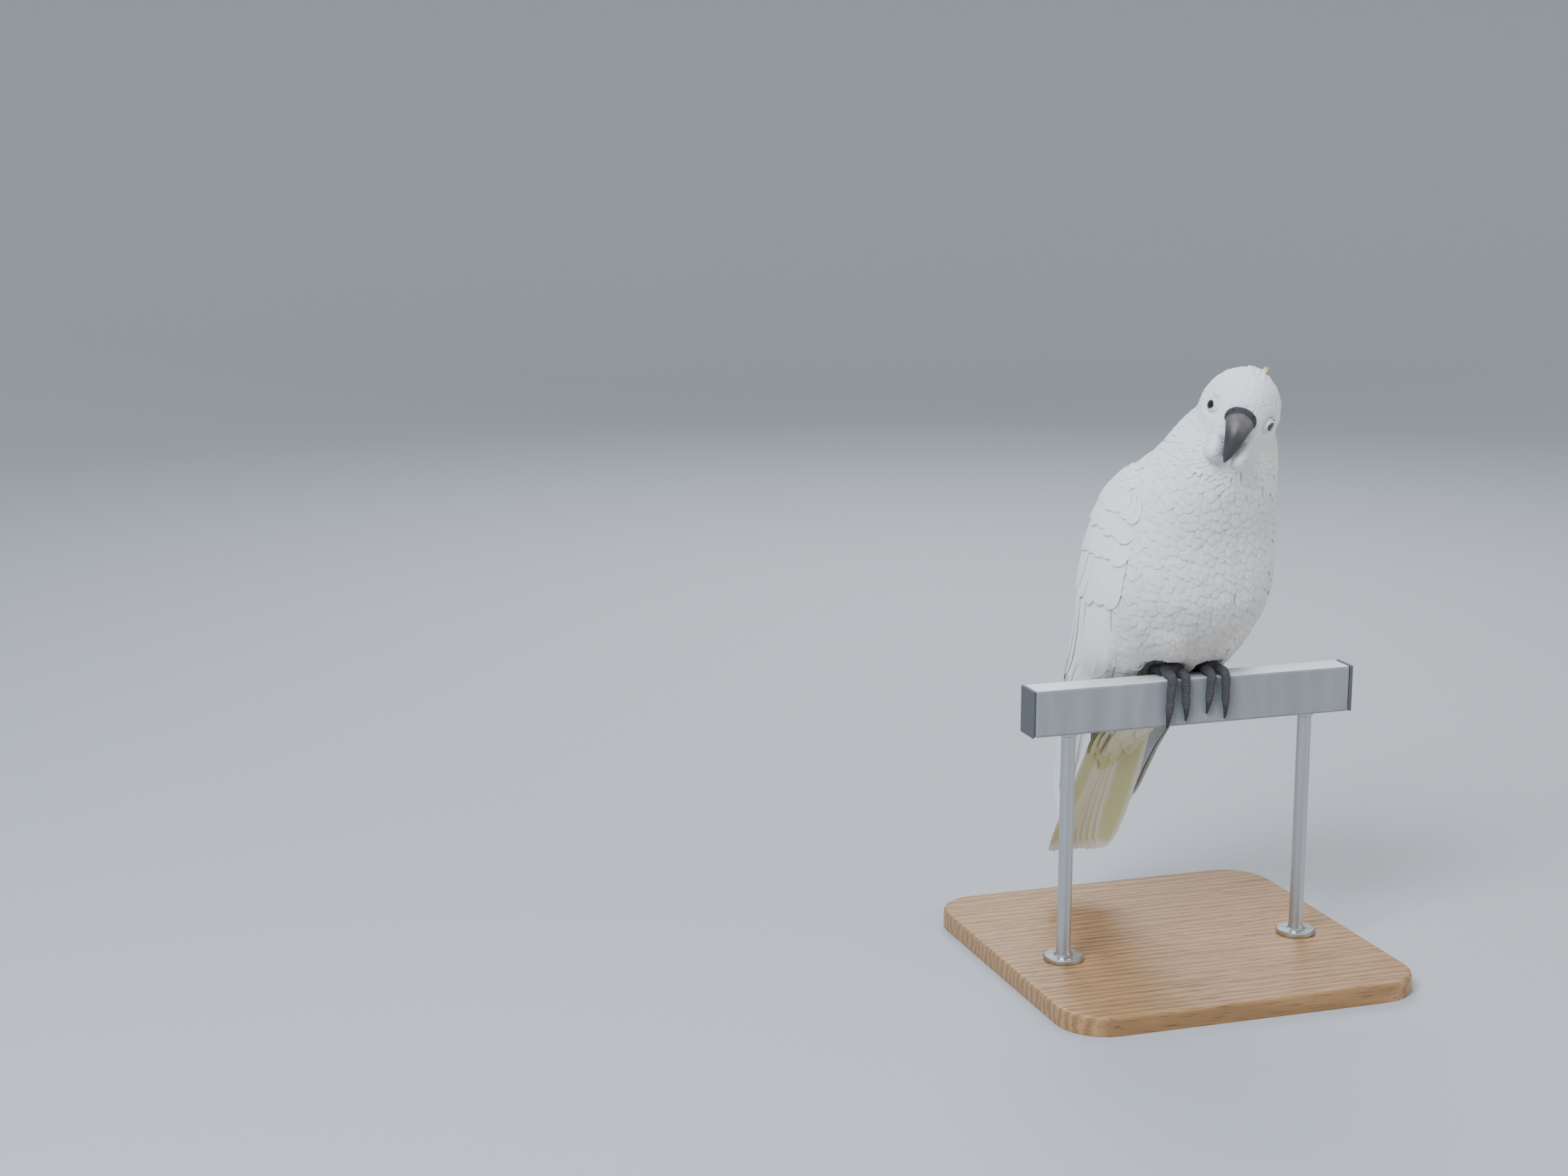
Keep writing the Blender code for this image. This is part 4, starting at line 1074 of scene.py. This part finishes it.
def wing_rows(side):
    """All the rows of one wing, from the flight feathers out to the small coverts."""
    stiff = Vane(STIFF_SECTION, STIFF_PROFILE)
    soft = Vane(SOFT_SECTION, SOFT_PROFILE, (12, 0.16, 0.10, 0.6))
    over = LEFT_WING_OVER * (side > 0)
    ten, twelve = np.arange(10) / 9, np.arange(12) / 11
    primary_tips = 0.86 + 0.14 * np.sin(ten * math.pi * 0.62)
    secondary_tips = 0.76 - 0.15 * twelve**1.5
    rows = [
        (stiff, 10, ((0.34, 0.40), (0.40, 0.95)), (primary_tips, (0.12, 0.90)),
         (-0.0030 - over, -0.0042 - over), (-0.0004 - over, -0.0010 - over), 0.0110, 0.00028, 0.13),
        (stiff, 12, ((0.22, 0.20), (0.02, 0.92)), (secondary_tips, (-0.06, 0.88)),
         (-0.0018, -0.0040), (0.0004, -0.0018), 0.0122, 0.00028, 0.13),
        (stiff, 13, ((0.24, 0.20), (-0.02, 0.97)), ((0.47, 0.40), (-0.07, 0.95)),
         (-0.0012, -0.0030), (0.0010, -0.0006), 0.0112, 0.00025, 0.13),
    ]
    for count, tip, width, rise in (
        (14, 0.355, 0.0100, 0.0010), (15, 0.290, 0.0092, 0.0014), (16, 0.230, 0.0085, 0.0017)
    ):
        rows.append((
            soft, count, ((tip - 0.12, tip - 0.16), (0.0, 0.99)), ((tip, tip - 0.06), (-0.04, 0.98)),
            (-0.0014, -0.0026), (rise, rise - 0.0010), width, 0.0002, 0.17,
        ))
    for tip, width, rise in ((0.42, 0.0105, 0.0016), (0.34, 0.0095, 0.0020), (0.26, 0.0085, 0.0022)):
        rows.append((
            soft, 4, ((tip - 0.17, tip - 0.19), (-0.05, 0.14)), ((tip + 0.01, tip - 0.02), (-0.09, 0.15)),
            (-0.0040, -0.0040), (rise, rise), width, 0.0002, 0.17,
        ))
    return [
        wing_row(side, vane, count, root, tip, (np.linspace(*sunk, count) + over,
                 np.linspace(*raised, count) + over), width, thickness, camber)
        for vane, count, root, tip, sunk, raised, width, thickness, camber in rows
    ]


def make_wing(side, label):
    rows = wing_rows(side)
    bake_in_strips(rows)
    for batch in rows:
        batch["marking"][..., 0] = 0.12 * lower_points(batch)
        batch["marking"][..., 2] = rng.normal(0.0, 0.02, (len(batch["points"]), 1))
    feather_piece(f"wing_feathers_{label}", rows, STIFF_FEATHER, (f"wing_{label}",))
    make_wing_flesh(side, label)


def make_wing_flesh(side, label):
    """The flesh of the wing under its feathers."""
    bm = bmesh.new()
    bmesh.ops.create_grid(bm, x_segments=12, y_segments=24, size=0.5)
    for vert in bm.verts:
        across, down = vert.co.x + 0.5, (vert.co.y + 0.5) * 0.56
        vert.co = wing_places(side, *np.array([[down], [0.03 + 0.94 * across], [-0.0040]]))[0][0]
    bmesh.ops.recalc_face_normals(bm, faces=bm.faces)
    mesh = mesh_from(bm, f"wing_flesh_{label}")
    write_marking(mesh, markings(mesh_arrays(mesh)[0]))
    mesh.shade_smooth()
    shell = finished(mesh.name, mesh, DOWNY_SKIN).modifiers.new("flesh", "SOLIDIFY")
    shell.thickness = 0.0012
    shell.offset = 0.0


def tail_places(across, along, out):
    """Places over the tail and their normals: across it from -1 to 1, along it from its root
    in metres, and out from its middle, upwards."""
    axis = TAIL_TIP - TAIL_ROOT
    share = along / axis.length
    axis.normalize()
    dorsal = np.array((axis.z, 0.0, -axis.x))
    half = TAIL_HALF_WIDTH + TAIL_WIDENS * share
    slope = math.tan(math.radians(TAIL_TWIST)) * share
    y = across * half - TAIL_SWINGS * share**2
    rise = TAIL_ARCH * (0.5 - across**2) * share + out - slope * y
    place = np.array(TAIL_ROOT) + np.array(axis) * along[..., None] + dorsal * rise[..., None]
    place[..., 1] = y
    normal = np.broadcast_to(dorsal, place.shape).copy()
    normal[..., 1] = slope + 2.0 * TAIL_ARCH * across * share / half
    return carried(place, BIRD_FRAME), turned(unit(normal), BIRD_FRAME)


def make_tail():
    """Twelve stiff feathers, the middle pair uppermost and yellow underneath, and soft coverts
    over and under their roots."""
    stiff = Vane(STIFF_SECTION, STIFF_PROFILE)
    soft = Vane(SOFT_SECTION, SOFT_PROFILE, (14, 0.16, 0.10, 0.45))
    across = (np.arange(12)[:, None] - 5.5) / 5.5
    rank = np.abs(across)
    share = np.linspace(0.0, 1.0, 11)[None]
    along = (TAIL_TIP - TAIL_ROOT).length - 0.008 * rank**2.5 + rng.normal(0.0, 0.0008, (12, 1))
    rise = 0.0018 - 0.0036 * rank + 0.0 * share
    paths, normals = tail_places(across + 0.0 * share, along * share, rise)
    batch = grown_feathers(stiff, paths, normals, 0.0125, 0.0003, camber=0.03)
    inner = ease(1.0 - np.abs(batch["local"][..., 0]), 0.0, 0.22)
    yellow = np.maximum(0.06, 0.75 * lower_points(batch) * inner)
    batch["marking"][..., 0] = yellow * (1.0 - ease(batch["local"][..., 1], 0.94, 0.99))
    rows = [batch]
    # Each row of coverts: how many, where it starts and ends along the tail, how far out its
    # roots and tips lie, its half width and how yellow it is.
    for count, first, last, low, high, half, yellow in (
        (9, 0.022, 0.080, 0.0215, 0.0080, 0.0080, 0.10),
        (9, 0.034, 0.098, 0.0150, 0.0035, 0.0085, 0.05),
        (13, 0.002, 0.063, -0.0352, -0.0160, 0.0070, 0.30),
        (13, 0.016, 0.072, -0.0285, -0.0132, 0.0070, 0.42),
        (13, 0.022, 0.078, -0.0255, -0.0110, 0.0070, 0.52),
        (13, 0.030, 0.086, -0.0190, -0.0080, 0.0070, 0.60),
        (12, 0.036, 0.097, -0.0120, -0.0045, 0.0075, 0.70),
        (11, 0.044, 0.108, -0.0070, -0.0025, 0.0075, 0.80),
    ):
        steps = np.linspace(0.0, 1.0, 8)[None]
        across = np.linspace(-1.0, 1.0, count)[:, None] + rng.normal(0.0, 0.10, (count, 1))
        tip = last - 0.014 * across**2 + rng.normal(0.0, 0.0045, (count, 1))
        rise = low + (high - low) * steps + rng.normal(0.0, 0.0005, (count, 1))
        paths, normals = tail_places(across * (0.9 + 0.2 * steps), first + (tip - first) * steps, rise)
        normals = normals * math.copysign(1.0, low)
        batch = grown_feathers(soft, paths, normals, half, 0.0002, camber=0.16)
        batch["marking"][..., 0] = yellow
        rows.append(batch)
    bake_in_strips(rows)
    feather_piece("tail_feathers", rows, STIFF_FEATHER, ("tail",))


def crest_plume(vane, first, last, fan, aside, half_width, raised):
    """A plume between two steps of the crest's line, fanned out by a slope, its tip curled."""
    line = smooth_between(CREST_LINE, CREST_STEPS)
    steps = np.linspace(first, last, 13)
    x, z = (np.interp(steps, np.arange(CREST_STEPS), column) for column in line.T)
    way = unit(np.stack([np.gradient(x), np.gradient(z)], axis=1))
    normal = np.stack([way[:, 1], 0 * x, -way[:, 0]], axis=1)
    y = aside + (x[0] - x) * math.tan(math.radians(fan)) + 0.0070 * ease(steps, 13.0, 20.5)
    over_crown = np.minimum(np.abs(y), 0.010)
    share = np.linspace(0.0, 1.0, 13)[:, None]
    path = np.stack([x, y, z - 18.0 * over_crown**2], axis=1)
    normal[:, 1] = 34.0 * over_crown * np.sign(y)
    normal = unit(normal)
    path = path + normal * (raised - 0.0040 * (1.0 - share) ** 2.0)
    path, normal = carried(path[None], HEAD_FRAME), turned(normal[None], HEAD_FRAME)
    batch = grown_feathers(vane, path, normal, half_width, 0.0002, camber=0.15)
    reached = first + (last - first) * batch["local"][..., 1]
    batch["marking"][..., 0] = ease(reached, 9.0, 15.0) * 0.75
    return batch


def make_crest():
    """Long narrow yellow plumes folded back with their tips curling up, and shorter white
    feathers of the crown that lie over their roots."""
    vane = Vane(STIFF_SECTION, CREST_PROFILE)
    plumes = []
    for i in range(9):
        fan = 7.4 + 0.05 * ((i * 5 % 9) - 4.0)
        plumes.append((8.5 - 0.40 * i, 20.0 - 0.08 * ((i * 7) % 9), fan, 0.0, 0.0034, 0.00007 * i))
    for i in range(34):
        share = i / 33
        first = 8.0 - 7.5 * share
        last = first + 6.0 - 3.2 * share
        aside = math.sin(i * 2.4)
        plumes.append((first, last, -5.0 * aside, 0.0070 * aside, 0.0026, 0.0006 - 0.0006 * share))
    batches = [crest_plume(vane, *plume) for plume in plumes]
    bake_in_strips(batches)
    names = [f"crest_plume_{i}" for i in range(1, 6)]
    feather_piece("crest_feathers", batches, CREST_FEATHER, names)


# ---- bill and eyes ----


def bent_loft(centre, radius, sections, rings, sides, pinch=0.0):
    """A loft of sections (angle, depth, half width, raised) bent round a centre in the head's
    frame."""
    around = np.linspace(0.0, math.tau, sides, endpoint=False)
    ridge = 1.0 + pinch * hill(np.angle(np.exp(1j * around)), 0.35)
    loops = []
    for angle, depth, half_width, raised in smooth_between(sections, rings):
        turn = math.radians(angle)
        outward = np.array((math.cos(turn), 0.0, math.sin(turn)))
        reach = radius + raised - depth / 2 + np.cos(around) * ridge * depth / 2
        places = np.array(centre) + reach[:, None] * outward
        places[:, 1] += np.sin(around) * half_width
        loops.append(places)
    bm = loft(loops)
    bm.transform(HEAD_FRAME)
    return bm


def make_bill():
    horn = bill_material()
    upper = bent_loft(
        UPPER_BILL_CENTRE, UPPER_BILL_RADIUS,
        ((84, 0.0200, 0.0118, 0.0), (50, 0.0190, 0.0114, 0.0), (22, 0.0172, 0.0095, 0.0),
         (4, 0.0152, 0.0079, 0.0), (-7, 0.0116, 0.0068, 0.0), (-18, 0.0092, 0.0054, 0.0),
         (-34, 0.0054, 0.0034, 0.0), (-45, 0.0014, 0.0010, 0.0)),
        48, 32, 0.03,
    )
    lower = bent_loft(
        LOWER_BILL_CENTRE, LOWER_BILL_RADIUS,
        ((-125, 0.0100, 0.0098, 0.0), (-90, 0.0100, 0.0100, 0.0), (-55, 0.0092, 0.0086, 0.0),
         (-30, 0.0060, 0.0064, 0.0), (-22, 0.0030, 0.0050, 0.0)),
        28, 28,
    )
    for bm, name, centre, powdered in (
        (upper, "upper_bill", UPPER_BILL_CENTRE, 1.0), (lower, "lower_bill", LOWER_BILL_CENTRE, 0.0)
    ):
        piece = piece_from(bm, f"{name}_horn", horn, (name,))
        head = in_head(mesh_arrays(piece.data)[0]) - np.array(centre)
        angle = np.degrees(np.arctan2(head[:, 2], head[:, 0]))
        front = ease(np.linalg.norm(head[:, [0, 2]], axis=1), 0.014, 0.025)
        powder = ease(angle, 0.0, 50.0) * (0.2 + 0.6 * front) * powdered
        write_marking(piece.data, np.stack([powder, np.radians(angle), 0 * angle], axis=1))


def make_cere():
    """The narrow bare cere round the root of the bill: a soft roll with two round nostrils."""
    bm = bent_loft(
        UPPER_BILL_CENTRE, UPPER_BILL_RADIUS,
        ((80, 0.0206, 0.0122, 0.0002), (70, 0.0210, 0.0128, 0.0006), (62, 0.0212, 0.0130, 0.0007),
         (56, 0.0206, 0.0126, 0.0005), (52, 0.0198, 0.0118, 0.0000), (49, 0.0190, 0.0109, -0.0006)),
        30, 96,
    )
    nostrils = []
    turn = math.radians(60.0)
    outward = Vector((math.cos(turn), 0.0, math.sin(turn)))
    for side, _ in SIDES:
        round_it = side * math.radians(42.0)
        spot = UPPER_BILL_CENTRE + outward * (0.0172 + 0.0105 * math.cos(round_it))
        spot.y += 0.0130 * math.sin(round_it)
        inward = -(outward * math.cos(round_it) + Vector((0.0, math.sin(round_it), 0.0)))
        nostrils.append((HEAD_FRAME @ spot, HEAD_FRAME.to_3x3() @ inward))
    for vert in bm.verts:
        for spot, inward in nostrils:
            gap = (vert.co - spot).length
            vert.co += inward * (0.0005 * hill(gap, 0.0011))
            vert.co -= inward * (0.0004 * hill(gap - 0.0020, 0.0008))
    mesh = piece_from(bm, "cere", cere_material()).data
    places, _ = mesh_arrays(mesh)
    # Painted shade: the marking blackens the cere within about a millimetre of each nostril's middle, where
    # the opening lies in shadow.
    gap = np.min([gap_to(places, spot) for spot, _ in nostrils], axis=0)
    write_marking(mesh, np.stack([1.0 - ease(gap, 0.0008, 0.0014), 0 * gap, 0 * gap], axis=1))


def make_eyes(outline):
    """Each eyeball looks straight out from the face round it, and its lid is a folded roll
    that runs from the ball out to the face."""
    for side, label in SIDES:
        centre = eye_centre(side)
        gap = gap_to(outline.centres, centre)
        outward = Vector(outline.face_normals[(gap < 0.014) & (gap >= 0.008)].mean(0)).normalized()
        place = Matrix.Translation(centre) @ outward.to_track_quat("Z", "Y").to_matrix().to_4x4()
        ball = bmesh.new()
        bmesh.ops.create_uvsphere(ball, u_segments=40, v_segments=24, radius=EYE_RADIUS, matrix=place)
        piece_from(ball, f"eyeball_{label}", WET_EYE, (f"eye_{label}",), 180.0)
        rim = lathed([(point[0], index) for index, point in enumerate(LID)], 64, closed=True)
        bmesh.ops.scale(rim, verts=rim.verts, vec=(1.08, 0.95, 1.0))
        for vert in rim.verts:
            reach, share, raised = LID[round(vert.co.z)]
            over = Vector((vert.co.x * LID_REACH / reach, vert.co.y * LID_REACH / reach, LID_ABOVE))
            drop = outline.tree.ray_cast(place @ over, -outward, 0.06)[3]
            on_face = LID_ABOVE + 0.0002 - (drop or 0.026)
            on_ball = math.sqrt(EYE_RADIUS**2 - min(vert.co.xy.length, 0.0065) ** 2)
            vert.co.z = on_ball * (1.0 - share) + on_face * share + raised
            if raised > -0.0003:
                vert.co.z = max(vert.co.z, on_ball + 0.0003)
        bmesh.ops.recalc_face_normals(rim, faces=rim.faces)
        rim.transform(place)
        piece_from(rim, f"eyelid_{label}", EYE_RING_SKIN)


# ---- feet ----


def toe_rings(facing, across, spread_angle, length, side, back):
    """Rings along a toe, over the top of the rail and down its face: scutes across its back,
    pads under its joints, and a rounded end that grips the claw."""
    reach = np.arange(TOE_START, length + 0.0012, 0.0005)
    radius = np.interp(reach, (TOE_START, length), (TOE_ROOT_RADIUS, TOE_END_RADIUS))
    on_top = RAIL_DEPTH / 2 + facing * back - 0.001
    bend = TOE_ROOT_RADIUS * math.pi / 2
    turn = np.clip((reach - on_top) / TOE_ROOT_RADIUS, 0.0, math.pi / 2)
    clear = radius + TOE_CLEARANCE
    out = np.minimum(reach, on_top) + (clear + 0.001) * np.sin(turn)
    up = clear * np.cos(turn) - np.maximum(reach - on_top - bend, 0.0)
    y = side * (SOLE_ACROSS + across + math.tan(math.radians(spread_angle)) * reach)
    middle = np.stack([facing * out - back, y, up], axis=1)
    outward = np.stack([facing * np.sin(turn), 0 * turn, np.cos(turn)], axis=1)
    scute = hill(((reach / SCUTE_PITCH) % 1.0 - 0.5) * SCUTE_PITCH, 0.00035)
    joint = 0.5 - 0.5 * np.cos(math.tau * (length - reach) / PAD_PITCH)
    tip = np.clip((reach - length + 0.0022) / 0.0034, 0.0, 1.0)
    body = radius * np.sqrt(1.0 - 0.62 * tip**2)
    around = np.linspace(0.0, math.tau, 20, endpoint=False)
    cosine, sine = np.cos(around), np.sin(around)
    over = (0.5 + 0.5 * cosine) ** 0.6
    rings = []
    for place, way, size, groove, pad in zip(middle, outward, body, scute, joint):
        width = size * (1.0 - 0.09 * groove * over) * (0.93 + 0.07 * pad)
        ring = place + (width * cosine)[:, None] * way
        ring[:, 1] += width * sine
        rings.append(carried(ring, FEET_FRAME))
    return rings


def make_feet():
    leather = foot_material()
    for side, label in SIDES:
        leg = f"tarsus_{label}"
        mesh = remeshed(copy_of_nodes([leg]), *LEG_FORM)
        finished(f"tarsus_skin_{label}", mesh, leather, (leg,))
        for number, *shape in TOES:
            toe, claw = f"toe_{number}_{label}", f"claw_{number}_{label}"
            rings = toe_rings(*shape, side, STEP_BACK[label])
            piece_from(loft(rings), f"{toe}_skin", leather, (toe,))
            mesh = remeshed(copy_of_nodes([claw]), *CLAW_FORM)
            finished(f"{claw}_horn", mesh, CLAW_HORN, (claw,))


# ---- rail and stand ----


def turned_rod(low, high, middle):
    """A rod with its flange turned in one piece, and three countersunk screws."""
    profile = (
        (0.0, low), (0.0166, low), (0.0170, low + 0.0004), (0.0170, low + 0.0028),
        (0.0158, low + 0.0038), (0.0086, low + 0.0040), (0.0068, low + 0.0052),
        (0.0060, low + 0.0085), (0.0060, high - 0.0035), (0.0072, high - 0.0028),
        (0.0072, high - 0.0004), (0.0068, high), (0.0, high),
    )
    bm = lathed(profile, 56)
    for turn in (30.0, 150.0, 270.0):
        place = Matrix.Rotation(math.radians(turn), 4, "Z") @ Matrix.Translation((0.0125, 0.0, low + 0.0040))
        bmesh.ops.create_cone(
            bm, cap_ends=True, segments=20, radius1=0.0021, radius2=0.0017, depth=0.0008, matrix=place
        )
    bmesh.ops.recalc_face_normals(bm, faces=bm.faces)
    bmesh.ops.translate(bm, verts=bm.verts, vec=middle)
    return bm


def make_stand():
    for name, material in (
        ("perch_rail", rail_material()), ("perch_cap_left", CAP_PLASTIC),
        ("perch_cap_right", CAP_PLASTIC), ("stand_base", oak_material()),
    ):
        NODES[name].material_slots[0].material = material
    steel = steel_material()
    for _, label in SIDES:
        rod = f"stand_rod_{label}"
        low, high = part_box(rod)
        middle = Vector(((low.x + high.x) / 2, (low.y + high.y) / 2, 0.0))
        piece_from(turned_rod(low.z, high.z, middle), f"rod_{label}", steel, (rod,), 30.0)


# ---- studio ----

FLOOR_RADIUS = 3.2
SWEEP_RADIUS = 1.5
WALL_TOP = 4.5
FLOOR_DROP = 0.0003
LIGHTS = (
    ("key", (-1.7, -1.3, 2.2), 1.2, 108.0, "#E9F2FF"),
    ("fill", (1.9, -1.6, 1.1), 2.0, 22.0, "#FFF4E8"),
    ("rim", (0.6, 1.9, 1.9), 1.2, 40.0, "#F5F9FF"),
)
LIGHTS_AIM = Vector((0.0, 0.03, 0.33))
CAMERA_PLACE = (-0.98581, -1.95285, 0.78086)
CAMERA_TILT, CAMERA_HEADING = 78.1, -18.0
CAMERA_LENS = 60.216


def make_studio():
    """A round pale floor that sweeps up into walls, and soft lights inside it."""
    line = [(0.0, 0.0)]
    for turn in np.linspace(0.0, math.pi / 2, 13):
        line.append((
            FLOOR_RADIUS + SWEEP_RADIUS * math.sin(turn), SWEEP_RADIUS - SWEEP_RADIUS * math.cos(turn)
        ))
    line.append((FLOOR_RADIUS + SWEEP_RADIUS, WALL_TOP))
    bm = lathed([(radius, height - FLOOR_DROP) for radius, height in line], 96)
    bmesh.ops.recalc_face_normals(bm, faces=bm.faces)
    bmesh.ops.reverse_faces(bm, faces=bm.faces)
    mesh = mesh_from(bm, "floor")
    mesh.shade_smooth()
    mesh.materials.append(FLOOR_PAPER)
    new_object("floor", mesh)

    world = bpy.data.worlds.new("studio air")
    world.use_nodes = True
    air = world.node_tree.nodes["Background"]
    air.inputs[0].default_value = linear("#DCE4EC")
    air.inputs[1].default_value = 1.0
    bpy.context.scene.world = world

    for name, place, size, power, colour in LIGHTS:
        light = bpy.data.lights.new(name, "AREA")
        light.size = size
        light.energy = power
        light.color = linear(colour)[:3]
        lamp = new_object(name, light)
        lamp.location = place
        lamp.rotation_euler = (LIGHTS_AIM - Vector(place)).to_track_quat("-Z", "Y").to_euler()

    camera = bpy.data.cameras.new("camera")
    camera.sensor_width = 36.0
    camera.lens = CAMERA_LENS
    holder = new_object("camera", camera)
    holder.location = CAMERA_PLACE
    holder.rotation_euler = (math.radians(CAMERA_TILT), 0.0, math.radians(CAMERA_HEADING))
    bpy.context.scene.camera = holder


def main():
    make_studio()
    flesh = plumed_form(FLESH, *SKIN_FORM)
    make_skin(flesh)
    make_coat(Outline(plumed_form(FLESH + WINGS, *COAT_FORM)))
    for side, label in SIDES:
        make_wing(side, label)
    make_tail()
    make_crest()
    make_bill()
    make_cere()
    make_eyes(Outline(flesh))
    make_feet()
    make_stand()


main()
